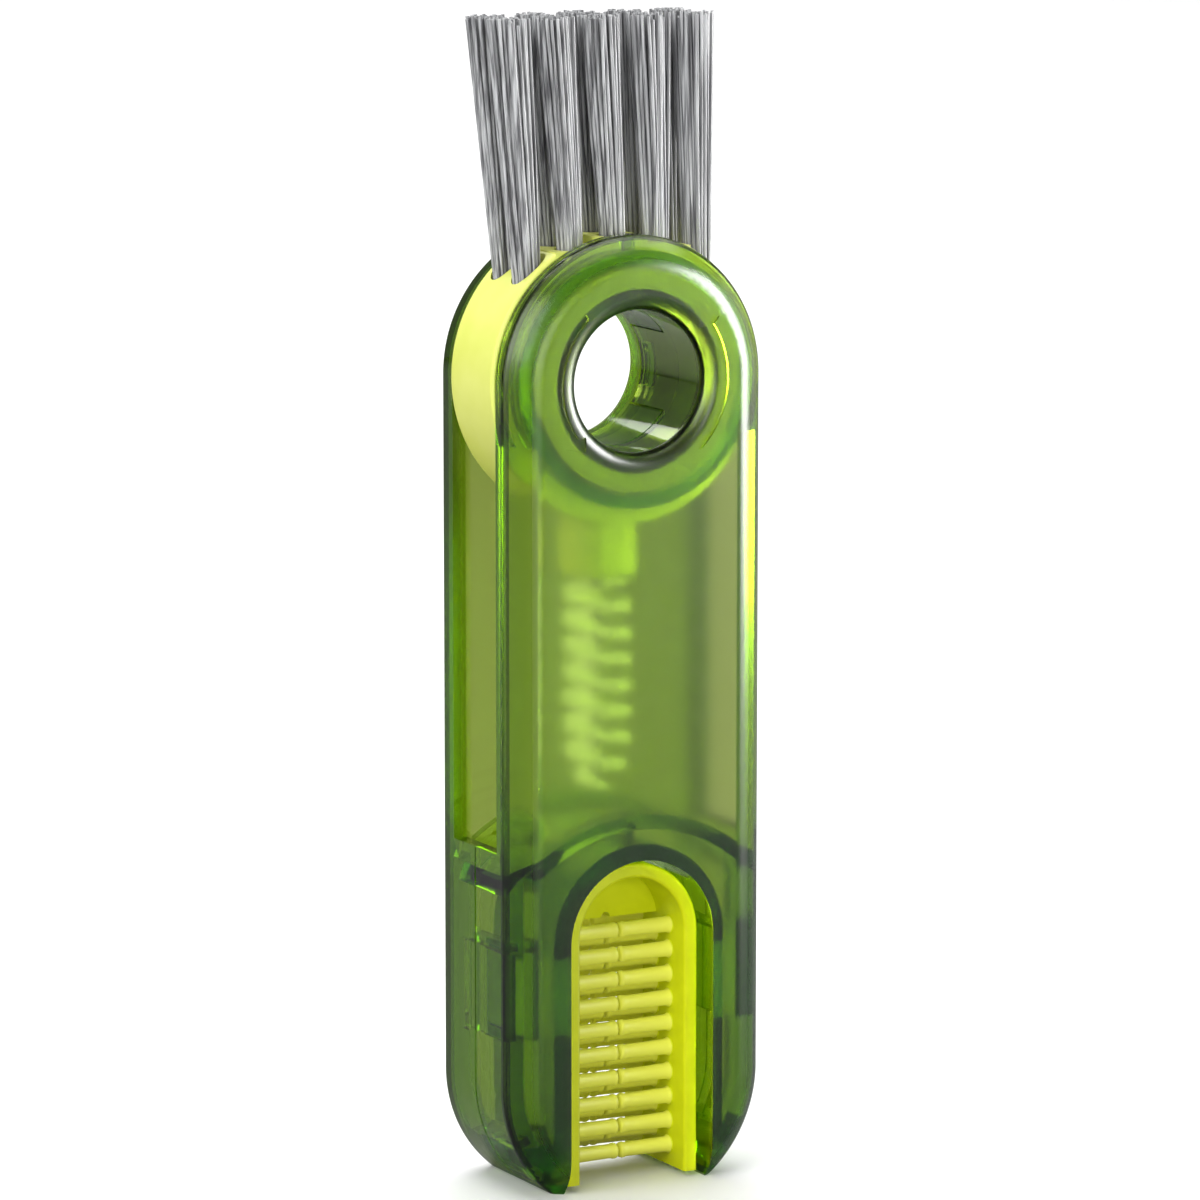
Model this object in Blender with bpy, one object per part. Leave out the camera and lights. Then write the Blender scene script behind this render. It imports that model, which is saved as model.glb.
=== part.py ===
"""Three-in-one cup and gap brush: a moulded pocket brush whose rotor carries two brushes.

X runs across the brush, the front panel faces -Y and +Z points at the tufts. The origin is on the
ground, midway between the two horn tips. Every size below is in millimetres, and solids are made
in metres.
"""
import math

import bmesh
import bpy
from mathutils import Matrix, Vector
from mathutils.geometry import delaunay_2d_cdt

MM = 0.001

# Gaps between pieces
PARTING_GAP = 0.3
CLEARANCE = 0.3

# Body outline, seen from the front
BODY_WIDTH = 39.0
HUB_HEIGHT = 110.5
END_ARC_HEIGHT = 14.8
TIP_WIDTH = 1.4
TIP_LAND = 0.5

# Body depth, measured from the parting plane to each side
FLANGE_DEPTH = 8.3
FACE_DEPTH = 11.56
WALL = 1.8
PANEL_GAP = 12.7
FLANGE_ROUND = 0.7
LEDGE_WIDTH = 1.9
LEDGE_RISE = 0.15
FLANK_WIDTH = 1.6
FACE_ROUND = 0.6

# Chamber at the foot of the body
SIDE_WALL = 1.9
SIDE_WALL_RISE = 3.245
ARCH_RADIUS = 25.0
ARCH_HEADROOM = 2.1
ARCH_WALL = 1.9
CHAMBER_FLOOR = 7.0
RECESS_MARGIN = 4.1

# Rim slot between the two horns
HORN_WIDTH = 8.6
SLOT_CROWN_HEIGHT = 34.6
SLOT_WALL = 2.0
WINDOW_LOW = 21.2
WINDOW_HIGH = 32.3
WINDOW_DEPTH = 10.6

# Hub: a front ring with two snap fingers, notched into a back tube
BORE_RADIUS = 9.6
LIP_ROUND = 1.5
FINGER_WALL = 1.0
TUBE_WALL = 1.2
FRONT_RING_END = -2.5
FINGER_END = 6.8
FINGER_HALF_ANGLE = 33.0
HOOK_WIDTH = 6.0
HOOK_LENGTH = 1.5
HOOK_RISE = 1.1
DRAIN_WIDTH = 11.0
DRAIN_NEAR = 1.5
DRAIN_FAR = 8.0
RING_WALL = 1.7
PIP_RADIUS = 0.9
PIP_TIP_RADIUS = 0.54
PIP_HEIGHT = 0.15
PIP_INSET = 2.3

# Snap tongues, alignment ribs and pegs that join the two shells
TONGUE_LOW = 21.5
TONGUE_HIGH = 33.5
TONGUE_THICKNESS = 1.2
TONGUE_REACH = 4.6
TONGUE_HOOK = 0.8
RIB_WIDTH = 1.2
RIB_DEPTH = 1.6
RIB_REACH = 2.6
RIB_TAPER = 0.12
SIDE_RIB_HEIGHT = 34.5
LOWER_RIB_HEIGHT = 7.3
PEG_RADIUS = 1.0
PEG_TIP_RADIUS = 0.7
PEG_TIP_LENGTH = 1 / 3
PEG_LENGTH = 4.6
PEG_HEIGHT = 3.2
PEG_INSET = 1.9

# Rotor that carries both brushes
RIM_PROUD = 0.5
RIM_ROUND = 0.45
BOSS_INSET = 4.4
BOSS_CLEARANCE = 0.4
LAND_MIDDLE_HALF = 3.4
LAND_MIDDLE_DROP = 1.0
LAND_SIDE_HALF = 10.2
LAND_SIDE_DROP = 2.6
ARM_OFFSET = -1.2
ARM_WIDTH = 9.6
ARM_DEPTH = 9.6
ARM_LENGTH = 7.3
ARM_CHAMFER = 1.0
ARM_NECK_SHARE = 0.94
ARM_FOOT_SHARE = 0.80
STEM_HOLE_DEPTH = 6.0

# Ten tufts in two rows of five
TUFT_PITCH = 6.4
TUFT_ROW_OFFSET = 3.0
TUFT_LENGTH = 28.6
OUTER_TUFT_DROP = 8.0
TUFT_RADIUS = 2.0
TUFT_STRANDS = 30
STRAND_RADIUS = 0.24
STRAND_TIP_RADIUS = 0.30
STRAND_MARGIN = 0.1
TUFT_SPREAD = 1.55
TUFT_FAN = 1.09
TUFT_LEAN = -2.0
PLUG_LENGTH = 1.6
ANCHOR_HEIGHT = 1.4
ANCHOR_WIDTH = 2.8
ANCHOR_THICKNESS = 0.4

# Narrow brush stowed below the rotor
STEM_WIDTH = 1.6
STEM_THICKNESS = 1.0
STEM_TWIST_PITCH = 4.8
NARROW_GAP = 1.1
NARROW_FOOT_GAP = 2.6
NARROW_RADIUS = 4.7
NARROW_CORE_RADIUS = 0.75
NARROW_PITCH = 3.6
NARROW_ROOT = 0.03
NARROW_SIDES = 12
NARROW_END_SHARE = 0.35
NARROW_END_GROWTH = 0.5
BRISTLE_FLARE = 1.15
BRISTLE_FLATNESS = 0.75

# Rim brush that lines the slot
LINER_CLEARANCE = 0.9
LINER_WALL = 2.0
LINER_DEPTH = 17.6
LINER_ROUND = 0.5
LINER_FOOT = 0.8
LUG_DEPTH = 2.1
WEB_THICKNESS = 1.6
WEB_RISE = 1.1
WEB_NOTCH_RADIUS = 0.7
ROD_ROWS = 10
ROD_PITCH = 3.43
ROD_RADIUS = 1.08
ROD_TIP_RADIUS = 0.95
ROD_LAYER_SPACING = 4.2

# Facets of round forms
TOP_STEPS = 32
END_STEPS = 8
CROWN_STEPS = 14
ROUND_STEPS = 3
HUB_SIDES = 40
RIM_SIDES = 60
HOLE_SIDES = 12

# Colours as red, green, blue, with roughness and metallic
SHELL_PLASTIC = ((0.20, 0.32, 0.02), 0.25, 0.0)
LIME_PLASTIC = ((0.78, 0.86, 0.10), 0.40, 0.0)
LIME_RUBBER = ((0.62, 0.72, 0.01), 0.55, 0.0)
GREY_NYLON = ((0.42, 0.44, 0.45), 0.35, 0.0)
WHITE_NYLON = ((0.85, 0.87, 0.83), 0.40, 0.0)
STEEL = ((0.60, 0.60, 0.60), 0.30, 1.0)
BRASS = ((0.66, 0.50, 0.24), 0.35, 1.0)

# Sizes that follow from the ones above
PARTING = PARTING_GAP / 2
PANEL_INNER = PANEL_GAP / 2
CEILING = FACE_DEPTH - WALL
HALF_WIDTH = BODY_WIDTH / 2
SLOT_HALF = HALF_WIDTH - HORN_WIDTH
END_ARC_RISE = HALF_WIDTH - SLOT_HALF - TIP_WIDTH
END_ARC_RADIUS = (END_ARC_HEIGHT ** 2 + END_ARC_RISE ** 2) / (2 * END_ARC_RISE)
END_ARC_X = HALF_WIDTH - END_ARC_RADIUS
SIDE_INNER = HALF_WIDTH - SIDE_WALL
RECESS_HALF = HALF_WIDTH - RECESS_MARGIN
CHAMBER_WALL_X = SLOT_HALF + SLOT_WALL
ARCH_TOP = SLOT_CROWN_HEIGHT + CHAMBER_WALL_X + ARCH_HEADROOM + ARCH_WALL
ARCH_CENTRE_HEIGHT = ARCH_TOP - ARCH_RADIUS
ARCH_FOOT_HEIGHT = ARCH_CENTRE_HEIGHT + math.sqrt(ARCH_RADIUS ** 2 - SIDE_INNER ** 2)
SIDE_WALL_TOP = ARCH_FOOT_HEIGHT + SIDE_WALL_RISE
LUG_REACH = SLOT_HALF + LUG_DEPTH
PEG_OFFSET = SLOT_HALF + PEG_INSET
FINGER_RADIUS = BORE_RADIUS + FINGER_WALL
TUBE_INNER = FINGER_RADIUS + CLEARANCE
TUBE_OUTER = TUBE_INNER + TUBE_WALL
ROTOR_BORE = TUBE_OUTER + CLEARANCE
ROTOR_HALF = CEILING - CLEARANCE
RIM_RADIUS = HALF_WIDTH + RIM_PROUD
RIM_HALF = PANEL_INNER - CLEARANCE
PIP_CIRCLE = RIM_RADIUS - PIP_INSET
BOSS_RADIUS = HALF_WIDTH - BOSS_INSET
POCKET_RADIUS = BOSS_RADIUS + BOSS_CLEARANCE
RING_OUTER = POCKET_RADIUS + RING_WALL
LAND_MIDDLE_HEIGHT = RIM_RADIUS - LAND_MIDDLE_DROP
LAND_SIDE_HEIGHT = RIM_RADIUS - LAND_SIDE_DROP
OUTER_TUFT_LEVEL = RIM_RADIUS - OUTER_TUFT_DROP
TUFT_REACH = RIM_RADIUS + TUFT_LENGTH
ARM_REACH = RIM_RADIUS + ARM_LENGTH
NARROW_TOP = ARM_REACH + NARROW_GAP
NARROW_LENGTH = HUB_HEIGHT - NARROW_TOP - ARCH_TOP - NARROW_FOOT_GAP
TUFT_HOLE_RADIUS = TUFT_RADIUS + CLEARANCE
TUFT_HOLE_DEPTH = PLUG_LENGTH + ANCHOR_HEIGHT + 2 * CLEARANCE
LINER_OUTER = SLOT_HALF - LINER_CLEARANCE
LINER_INNER = LINER_OUTER - LINER_WALL
LINER_HALF = LINER_DEPTH / 2
WEB_LOW = SLOT_CROWN_HEIGHT + WEB_RISE


def clear_scene():
    for item in list(bpy.data.objects):
        bpy.data.objects.remove(item, do_unlink=True)


def plastic(name, look):
    """A plain Principled material from a colour, a roughness and a metallic value."""
    colour, roughness, metallic = look
    material = bpy.data.materials.new(name)
    material.use_nodes = True
    shader = material.node_tree.nodes["Principled BSDF"]
    shader.inputs["Base Color"].default_value = (*colour, 1.0)
    shader.inputs["Roughness"].default_value = roughness
    shader.inputs["Metallic"].default_value = metallic
    return material


def solid_from(name, points, faces):
    """One closed mesh object from points in millimetres, with its faces turned outwards."""
    bm = bmesh.new()
    verts = [bm.verts.new((x * MM, y * MM, z * MM)) for x, y, z in points]
    for face in faces:
        bm.faces.new([verts[index] for index in face])
    bmesh.ops.recalc_face_normals(bm, faces=bm.faces)
    mesh = bpy.data.meshes.new(name)
    bm.to_mesh(mesh)
    bm.free()
    item = bpy.data.objects.new(name, mesh)
    bpy.context.scene.collection.objects.link(item)
    return item


def arc(centre_x, centre_z, radius, start, end, steps):
    """Points of an arc in the XZ plane, both ends included, angles in radians from +X."""
    turn = (end - start) / steps
    return [(centre_x + radius * math.cos(start + turn * i),
             centre_z + radius * math.sin(start + turn * i)) for i in range(steps + 1)]


def loft(name, sections):
    """Skin over sections of equal point count; each is a depth along Y and an outline in XZ."""
    count = len(sections[0][1])
    points = [(x, y, z) for y, outline in sections for x, z in outline]
    faces = [list(range(count)), list(range(len(points) - count, len(points)))]
    for level in range(len(sections) - 1):
        base = level * count
        for i in range(count):
            j = (i + 1) % count
            faces.append((base + i, base + j, base + count + j, base + count + i))
    return solid_from(name, points, faces)


def plate(name, outline, near, far):
    """An outline in XZ, extruded along Y between two depths."""
    return loft(name, [(near, outline), (far, outline)])


def block(name, low, high):
    outline = [(low[0], low[2]), (high[0], low[2]), (high[0], high[2]), (low[0], high[2])]
    return plate(name, outline, low[1], high[1])


def turned(name, profile, centre_x=0.0, centre_z=HUB_HEIGHT, sides=HUB_SIDES, hollow=False):
    """A profile of radius and depth pairs, turned about an axis along Y."""
    circle = [2 * math.pi * i / sides for i in range(sides)]
    points = [(centre_x + radius * math.cos(a), depth, centre_z + radius * math.sin(a))
              for radius, depth in profile for a in circle]
    bands = len(profile) if hollow else len(profile) - 1
    faces = []
    for band in range(bands):
        here = band * sides
        there = (band + 1) % len(profile) * sides
        for i in range(sides):
            j = (i + 1) % sides
            faces.append((here + i, here + j, there + j, there + i))
    if not hollow:
        faces.append(list(range(sides)))
        faces.append(list(range(len(points) - sides, len(points))))
    return solid_from(name, points, faces)


def upright(name, x, y, low, high, radius, sides=HOLE_SIDES):
    """A plain cylinder along Z."""
    circle = [2 * math.pi * i / sides for i in range(sides)]
    ring = [(x + radius * math.cos(a), y + radius * math.sin(a)) for a in circle]
    points = [(px, py, z) for z in (low, high) for px, py in ring]
    faces = [list(range(sides)), list(range(sides, 2 * sides))]
    for i in range(sides):
        j = (i + 1) % sides
        faces.append((i, j, sides + j, sides + i))
    return solid_from(name, points, faces)


def combine(target, tool, operation):
    """Boolean of a tool into a target; the tool is used up."""
    modifier = target.modifiers.new("combine", "BOOLEAN")
    modifier.operation = operation
    modifier.solver = "EXACT"
    modifier.object = tool
    depsgraph = bpy.context.evaluated_depsgraph_get()
    result = bpy.data.meshes.new_from_object(target.evaluated_get(depsgraph))
    target.modifiers.clear()
    target.data = result
    bpy.data.objects.remove(tool, do_unlink=True)


def cut(target, tool):
    combine(target, tool, "DIFFERENCE")


def add(target, tool):
    combine(target, tool, "UNION")


def end_arc(inset, low, steps=END_STEPS):
    """The right end arc of the body, from the height low up to where the straight side starts."""
    radius = END_ARC_RADIUS - inset
    start = -math.asin((END_ARC_HEIGHT - low) / radius)
    return arc(END_ARC_X, END_ARC_HEIGHT, radius, start, 0.0, steps)


def end_arc_height(inset, x):
    """The height at which the inset end arc passes over x."""
    radius = END_ARC_RADIUS - inset
    return END_ARC_HEIGHT - math.sqrt(radius ** 2 - (x - END_ARC_X) ** 2)


def mirrored(points):
    return [(-x, z) for x, z in reversed(points)]


def horseshoe(outer_side, over_top, inner_half, inner_crown, foot):
    """A closed outline: up the right side, over the top, down the left side, and round the slot."""
    crown = arc(0.0, inner_crown, inner_half, math.pi, 0.0, CROWN_STEPS)
    return (outer_side + over_top + mirrored(outer_side)
            + [(-inner_half, foot)] + crown + [(inner_half, foot)])


def body_outline(inset, slot_inset):
    """The body seen from the front, drawn in by an inset outside and a slot inset at the slot."""
    slot = SLOT_HALF + slot_inset
    foot = max(0.0, end_arc_height(inset, slot + TIP_LAND))
    top = arc(0.0, HUB_HEIGHT, HALF_WIDTH - inset, 0.0, math.pi, TOP_STEPS)
    return horseshoe(end_arc(inset, foot), top, slot, SLOT_CROWN_HEIGHT, foot)


def rounded_edge(radius, steps=ROUND_STEPS):
    """Inset and drop of the points of a quarter round, from the side to the face."""
    turns = [math.pi / 2 * i / steps for i in range(steps + 1)]
    return [(radius * (1 - math.cos(a)), radius * (1 - math.sin(a))) for a in turns]


def shell_body(name, side):
    """The outside of one shell: flat flange, ledge, steep flank and raised face."""
    sections = [(side * PARTING, body_outline(0.0, 0.0))]
    for inset, drop in rounded_edge(FLANGE_ROUND):
        sections.append((side * (FLANGE_DEPTH - drop), body_outline(inset, 0.0)))
    sections.append((side * (FLANGE_DEPTH + LEDGE_RISE), body_outline(LEDGE_WIDTH, 0.0)))
    for inset, drop in rounded_edge(FACE_ROUND):
        outline = body_outline(LEDGE_WIDTH + FLANK_WIDTH + inset, inset)
        sections.append((side * (FACE_DEPTH - drop), outline))
    return loft(name, sections)


def arch_points(radius, half_width):
    """The arch over the chamber, from its right foot to its left foot."""
    start = math.acos(half_width / radius)
    return arc(0.0, ARCH_CENTRE_HEIGHT, radius, start, math.pi - start, CROWN_STEPS)


def bay_cutter(side):
    """The open bay above the arch, out through both sides of the body."""
    far = HALF_WIDTH + WALL
    top = HUB_HEIGHT + far
    outline = [(far, SIDE_WALL_TOP), (SIDE_INNER, SIDE_WALL_TOP)]
    outline += arch_points(ARCH_RADIUS, SIDE_INNER)
    outline += [(-SIDE_INNER, SIDE_WALL_TOP), (-far, SIDE_WALL_TOP), (-far, top), (far, top)]
    return plate("bay_cutter", outline, -side * WALL, side * PANEL_INNER)


def recess_cutter(side):
    """The long recess in the inner face of a panel, between the ring wall and the arch."""
    start = -math.acos(RECESS_HALF / RING_OUTER)
    ring = arc(0.0, HUB_HEIGHT, RING_OUTER, -math.pi - start, start, CROWN_STEPS)
    outline = ring + arch_points(ARCH_RADIUS, RECESS_HALF)
    return plate("recess_cutter", outline, side * (PANEL_INNER - WALL / 2), side * CEILING)


def chamber_cutter(side, inset, near, far):
    """Half of the chamber round the slot, drawn in from the outside of the body by the inset."""
    low = max(CHAMBER_FLOOR, end_arc_height(inset, CHAMBER_WALL_X + 2 * TIP_LAND))
    roof = arch_points(ARCH_RADIUS - ARCH_WALL, HALF_WIDTH - inset)
    outline = horseshoe(end_arc(inset, low), roof, CHAMBER_WALL_X, SLOT_CROWN_HEIGHT, low)
    return plate("chamber_cutter", outline, side * near, side * far)


def bore_cutter(side):
    """The through hole with its rounded lip."""
    profile = [(BORE_RADIUS, -side * (FACE_DEPTH + WALL)), (BORE_RADIUS, side * (FACE_DEPTH - LIP_ROUND))]
    for inset, drop in rounded_edge(LIP_ROUND, 4)[1:]:
        profile.append((BORE_RADIUS + inset, side * (FACE_DEPTH - drop)))
    profile.append((BORE_RADIUS + LIP_ROUND, side * (FACE_DEPTH + WALL)))
    return turned("bore_cutter", profile)


def window_cutter(side, hand):
    """An opening in the slot wall for a lug of the rim brush."""
    low = (hand * (SLOT_HALF - WALL), -side * WALL, WINDOW_LOW)
    high = (hand * (CHAMBER_WALL_X + TIP_LAND), side * WINDOW_DEPTH / 2, WINDOW_HIGH)
    return block("window_cutter", low, high)


def open_shell(name, side, hub_tube):
    """A shell with its hub tube, bay, recesses, chamber, windows and bore."""
    shell = shell_body(name, side)
    cut(shell, bay_cutter(side))
    cut(shell, recess_cutter(side))
    pocket = [(POCKET_RADIUS, side * (PANEL_INNER - WALL / 2)), (POCKET_RADIUS, side * CEILING)]
    cut(shell, turned("pocket_cutter", pocket))
    cut(shell, chamber_cutter(side, SIDE_WALL, -WALL, PANEL_INNER))
    cut(shell, chamber_cutter(side, RECESS_MARGIN, PANEL_INNER - WALL / 2, CEILING))
    for hand in (-1, 1):
        cut(shell, window_cutter(side, hand))
    add(shell, hub_tube)
    cut(shell, bore_cutter(side))
    pip_circle = HUB_HEIGHT + PIP_CIRCLE
    pip = [(PIP_RADIUS, side * (PANEL_INNER + WALL / 2)), (PIP_RADIUS, side * PANEL_INNER),
           (PIP_TIP_RADIUS, side * (PANEL_INNER - PIP_HEIGHT))]
    add(shell, turned("pip", pip, 0.0, pip_circle, HOLE_SIDES))
    return shell


def wedge(name, start, end, radius, near, far):
    """A slice of a disc about the hub axis, between two angles and two depths."""
    outline = [(0.0, HUB_HEIGHT)] + arc(0.0, HUB_HEIGHT, radius, start, end, CROWN_STEPS)
    return plate(name, outline, near, far)


def radial_block(name, angle, inner, outer, near, far, width):
    """A block that stands out from the hub axis at an angle, between two depths."""
    along = Vector((math.cos(angle), math.sin(angle)))
    across = Vector((-along.y, along.x)) * width / 2
    corners = [along * inner - across, along * outer - across,
               along * outer + across, along * inner + across]
    outline = [(corner.x, HUB_HEIGHT + corner.y) for corner in corners]
    return plate(name, outline, near, far)


def make_front_shell():
    """The front shell: hub ring with two snap fingers, snap tongues, ribs and peg sockets."""
    root = -(CEILING + WALL / 2)
    tube = turned("fingers", [(FINGER_RADIUS, root), (FINGER_RADIUS, FINGER_END)])
    half_angle = math.radians(FINGER_HALF_ANGLE)
    for middle in (0.0, math.pi):
        add(tube, radial_block("hook", middle, BORE_RADIUS, FINGER_RADIUS + HOOK_RISE,
                               FINGER_END - CLEARANCE - HOOK_LENGTH, FINGER_END - CLEARANCE, HOOK_WIDTH))
    for middle in (math.pi / 2, 3 * math.pi / 2):
        gap = math.pi / 2 - half_angle
        cut(tube, wedge("finger_gap", middle - gap, middle + gap, TUBE_OUTER, FRONT_RING_END, CEILING))
    shell = open_shell("front_shell", -1, tube)
    for hand in (-1, 1):
        add_tongue(shell, hand)
        socket = [(PEG_RADIUS + CLEARANCE, WALL), (PEG_RADIUS + CLEARANCE, -PEG_LENGTH - CLEARANCE)]
        cut(shell, turned("socket", socket, hand * PEG_OFFSET, PEG_HEIGHT, HOLE_SIDES))
    add_ribs(shell)
    return shell


def add_tongue(shell, hand):
    """A snap tongue that reaches into the back shell, with a hook at its end."""
    outer = SIDE_INNER - CLEARANCE
    inner = outer - TONGUE_THICKNESS
    root = -PANEL_INNER
    add(shell, block("tongue", (hand * inner, root, TONGUE_LOW), (hand * outer, TONGUE_REACH, TONGUE_HIGH)))
    add(shell, block("tongue_root", (hand * (outer - CLEARANCE), root, TONGUE_LOW),
                     (hand * (SIDE_INNER + CLEARANCE), -TONGUE_THICKNESS, TONGUE_HIGH)))
    hook_low = TONGUE_REACH - HOOK_LENGTH
    add(shell, block("tongue_hook", (hand * (outer - CLEARANCE), hook_low, TONGUE_LOW),
                     (hand * (outer + TONGUE_HOOK), TONGUE_REACH, TONGUE_HIGH)))


def add_ribs(shell):
    """Alignment ribs inside the chamber that lap over the parting line."""
    places = [(0.0, ARCH_CENTRE_HEIGHT + ARCH_RADIUS - ARCH_WALL, math.pi / 2)]
    lower_radius = END_ARC_RADIUS - SIDE_WALL
    dip = math.asin((LOWER_RIB_HEIGHT - END_ARC_HEIGHT) / lower_radius)
    lower_x = END_ARC_X + lower_radius * math.cos(dip)
    for hand in (-1, 1):
        places.append((hand * SIDE_INNER, SIDE_RIB_HEIGHT, 0.0 if hand > 0 else math.pi))
        places.append((hand * lower_x, LOWER_RIB_HEIGHT, dip if hand > 0 else math.pi - dip))
    for x, z, angle in places:
        wall = Vector((x, z))
        out = Vector((math.cos(angle), math.sin(angle)))
        for outer, end, taper in ((CLEARANCE, -RIB_WIDTH, 0.0), (-CLEARANCE, RIB_REACH, RIB_TAPER)):
            across = Vector((-out.y, out.x)) * (RIB_WIDTH / 2 - taper)
            tail = wall - out * (CLEARANCE + RIB_DEPTH - taper)
            head = wall + out * outer
            corners = [tail - across, head - across, head + across, tail + across]
            rib = plate("rib", [(c.x, c.y) for c in corners], -PANEL_INNER - WALL / 3, end)
            add(shell, rib)


def make_back_shell():
    """The back shell: hub tube notched for the fingers, tongue pockets and pegs."""
    root = CEILING + WALL / 2
    tube = turned("tube", [(TUBE_OUTER, root), (TUBE_OUTER, -ROTOR_HALF)])
    ring_seat = FRONT_RING_END + CLEARANCE
    cut(tube, turned("ring_seat", [(TUBE_INNER, ring_seat), (TUBE_INNER, -CEILING)]))
    half_angle = math.radians(FINGER_HALF_ANGLE) + CLEARANCE / BORE_RADIUS
    hook_near = FINGER_END - 2 * CLEARANCE - HOOK_LENGTH
    for middle in (0.0, math.pi):
        cut(tube, wedge("finger_notch", middle - half_angle, middle + half_angle,
                        TUBE_INNER + CLEARANCE / 2, ring_seat - CLEARANCE, FINGER_END + CLEARANCE))
        cut(tube, radial_block("hook_window", middle, BORE_RADIUS, TUBE_OUTER + WALL,
                               hook_near, FINGER_END, HOOK_WIDTH + 2 * CLEARANCE))
    cut(tube, radial_block("drain_window", -math.pi / 2, BORE_RADIUS / 2, TUBE_OUTER + WALL,
                           DRAIN_NEAR, DRAIN_FAR, DRAIN_WIDTH))
    shell = open_shell("back_shell", 1, tube)
    pocket_low = TONGUE_REACH - HOOK_LENGTH - CLEARANCE
    pocket_outer = SIDE_INNER + TONGUE_HOOK
    for hand in (-1, 1):
        cut(shell, block("tongue_pocket",
                         (hand * (SIDE_INNER - CLEARANCE), pocket_low, TONGUE_LOW - CLEARANCE),
                         (hand * pocket_outer, TONGUE_REACH + CLEARANCE, TONGUE_HIGH + CLEARANCE)))
        peg = [(PEG_RADIUS, PEG_LENGTH), (PEG_RADIUS, -PEG_LENGTH + PEG_TIP_LENGTH),
               (PEG_TIP_RADIUS, -PEG_LENGTH)]
        add(shell, turned("peg", peg, hand * PEG_OFFSET, PEG_HEIGHT, HOLE_SIDES))
    return shell


def tuft_places():
    """Centre and plug level of each tuft, by row and then from left to right."""
    levels = {0: LAND_MIDDLE_HEIGHT, 1: LAND_SIDE_HEIGHT, 2: OUTER_TUFT_LEVEL}
    return [(step * TUFT_PITCH, row * TUFT_ROW_OFFSET, HUB_HEIGHT + levels[abs(step)])
            for row in (-1, 1) for step in range(-2, 3)]


def make_brush_carrier():
    """The rotor: rim and boss on one bore, stepped lands for the tufts, and the narrow arm."""
    soft = RIM_ROUND
    half_profile = [(ROTOR_BORE, ROTOR_HALF), (BOSS_RADIUS - soft, ROTOR_HALF),
                    (BOSS_RADIUS, ROTOR_HALF - soft), (BOSS_RADIUS, RIM_HALF),
                    (RIM_RADIUS - soft, RIM_HALF), (RIM_RADIUS, RIM_HALF - soft)]
    profile = half_profile + [(radius, -depth) for radius, depth in reversed(half_profile)]
    carrier = turned("brush_carrier", profile, sides=RIM_SIDES, hollow=True)
    side_land = HUB_HEIGHT + LAND_SIDE_HEIGHT
    above = HUB_HEIGHT + RIM_RADIUS + WALL
    foot = HUB_HEIGHT + BOSS_RADIUS - WALL
    add(carrier, block("side_lands", (-LAND_SIDE_HALF, -RIM_HALF, foot),
                       (LAND_SIDE_HALF, RIM_HALF, side_land)))
    for hand in (-1, 1):
        cut(carrier, block("side_land", (hand * LAND_MIDDLE_HALF, -RIM_RADIUS, side_land),
                           (hand * RIM_RADIUS, RIM_RADIUS, above)))
    cut(carrier, block("middle_land", (-LAND_SIDE_HALF, -RIM_RADIUS, HUB_HEIGHT + LAND_MIDDLE_HEIGHT),
                       (LAND_SIDE_HALF, RIM_RADIUS, above)))
    add(carrier, narrow_arm())
    for x, y, level in tuft_places():
        cut(carrier, upright("tuft_hole", x, y, level - TUFT_HOLE_DEPTH, above, TUFT_HOLE_RADIUS))
    foot = HUB_HEIGHT - ARM_REACH
    cut(carrier, upright("stem_hole", ARM_OFFSET, 0.0, foot - WALL, foot + STEM_HOLE_DEPTH,
                         STEM_WIDTH / 2 + CLEARANCE))
    for side in (-1, 1):
        for quarter in range(4):
            angle = math.pi / 2 * quarter
            dimple = [(PIP_TIP_RADIUS + CLEARANCE * 0.6, side * (RIM_HALF - CLEARANCE)),
                      (PIP_RADIUS + CLEARANCE / 2, side * (RIM_HALF + CLEARANCE))]
            if quarter != 1:
                cut(carrier, turned("dimple", dimple, PIP_CIRCLE * math.cos(angle),
                                    HUB_HEIGHT + PIP_CIRCLE * math.sin(angle), HOLE_SIDES))
    return carrier


def narrow_arm():
    """The arm below the rotor that holds the narrow brush, with rounded corners and a taper."""
    levels = [(BOSS_RADIUS + WALL, 1.0), (ARM_REACH - ARM_CHAMFER, ARM_NECK_SHARE),
              (ARM_REACH, ARM_FOOT_SHARE)]
    points = []
    for reach, share in levels:
        wide = ARM_WIDTH / 2 * share
        deep = ARM_DEPTH / 2 * share
        corner = ARM_DEPTH / 5
        for sign_x, sign_y, start in ((1, 1, 0.0), (-1, 1, 0.5), (-1, -1, 1.0), (1, -1, 1.5)):
            for i in range(4):
                angle = math.pi * (start + i / 6)
                points.append((ARM_OFFSET + sign_x * (wide - corner) + corner * math.cos(angle),
                               sign_y * (deep - corner) + corner * math.sin(angle),
                               HUB_HEIGHT - reach))
    count = len(points) // len(levels)
    faces = [list(range(count)), list(range(2 * count, 3 * count))]
    for base in (0, count):
        for i in range(count):
            j = (i + 1) % count
            faces.append((base + i, base + j, base + count + j, base + count + i))
    return solid_from("narrow_arm", points, faces)


def strand_centres(count, radius):
    """Evenly spread centres in a disc, in a sunflower pattern."""
    golden = math.pi * (3 - math.sqrt(5))
    return [(radius * math.sqrt((k + 0.5) / count) * math.cos(golden * k),
             radius * math.sqrt((k + 0.5) / count) * math.sin(golden * k)) for k in range(count)]


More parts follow.
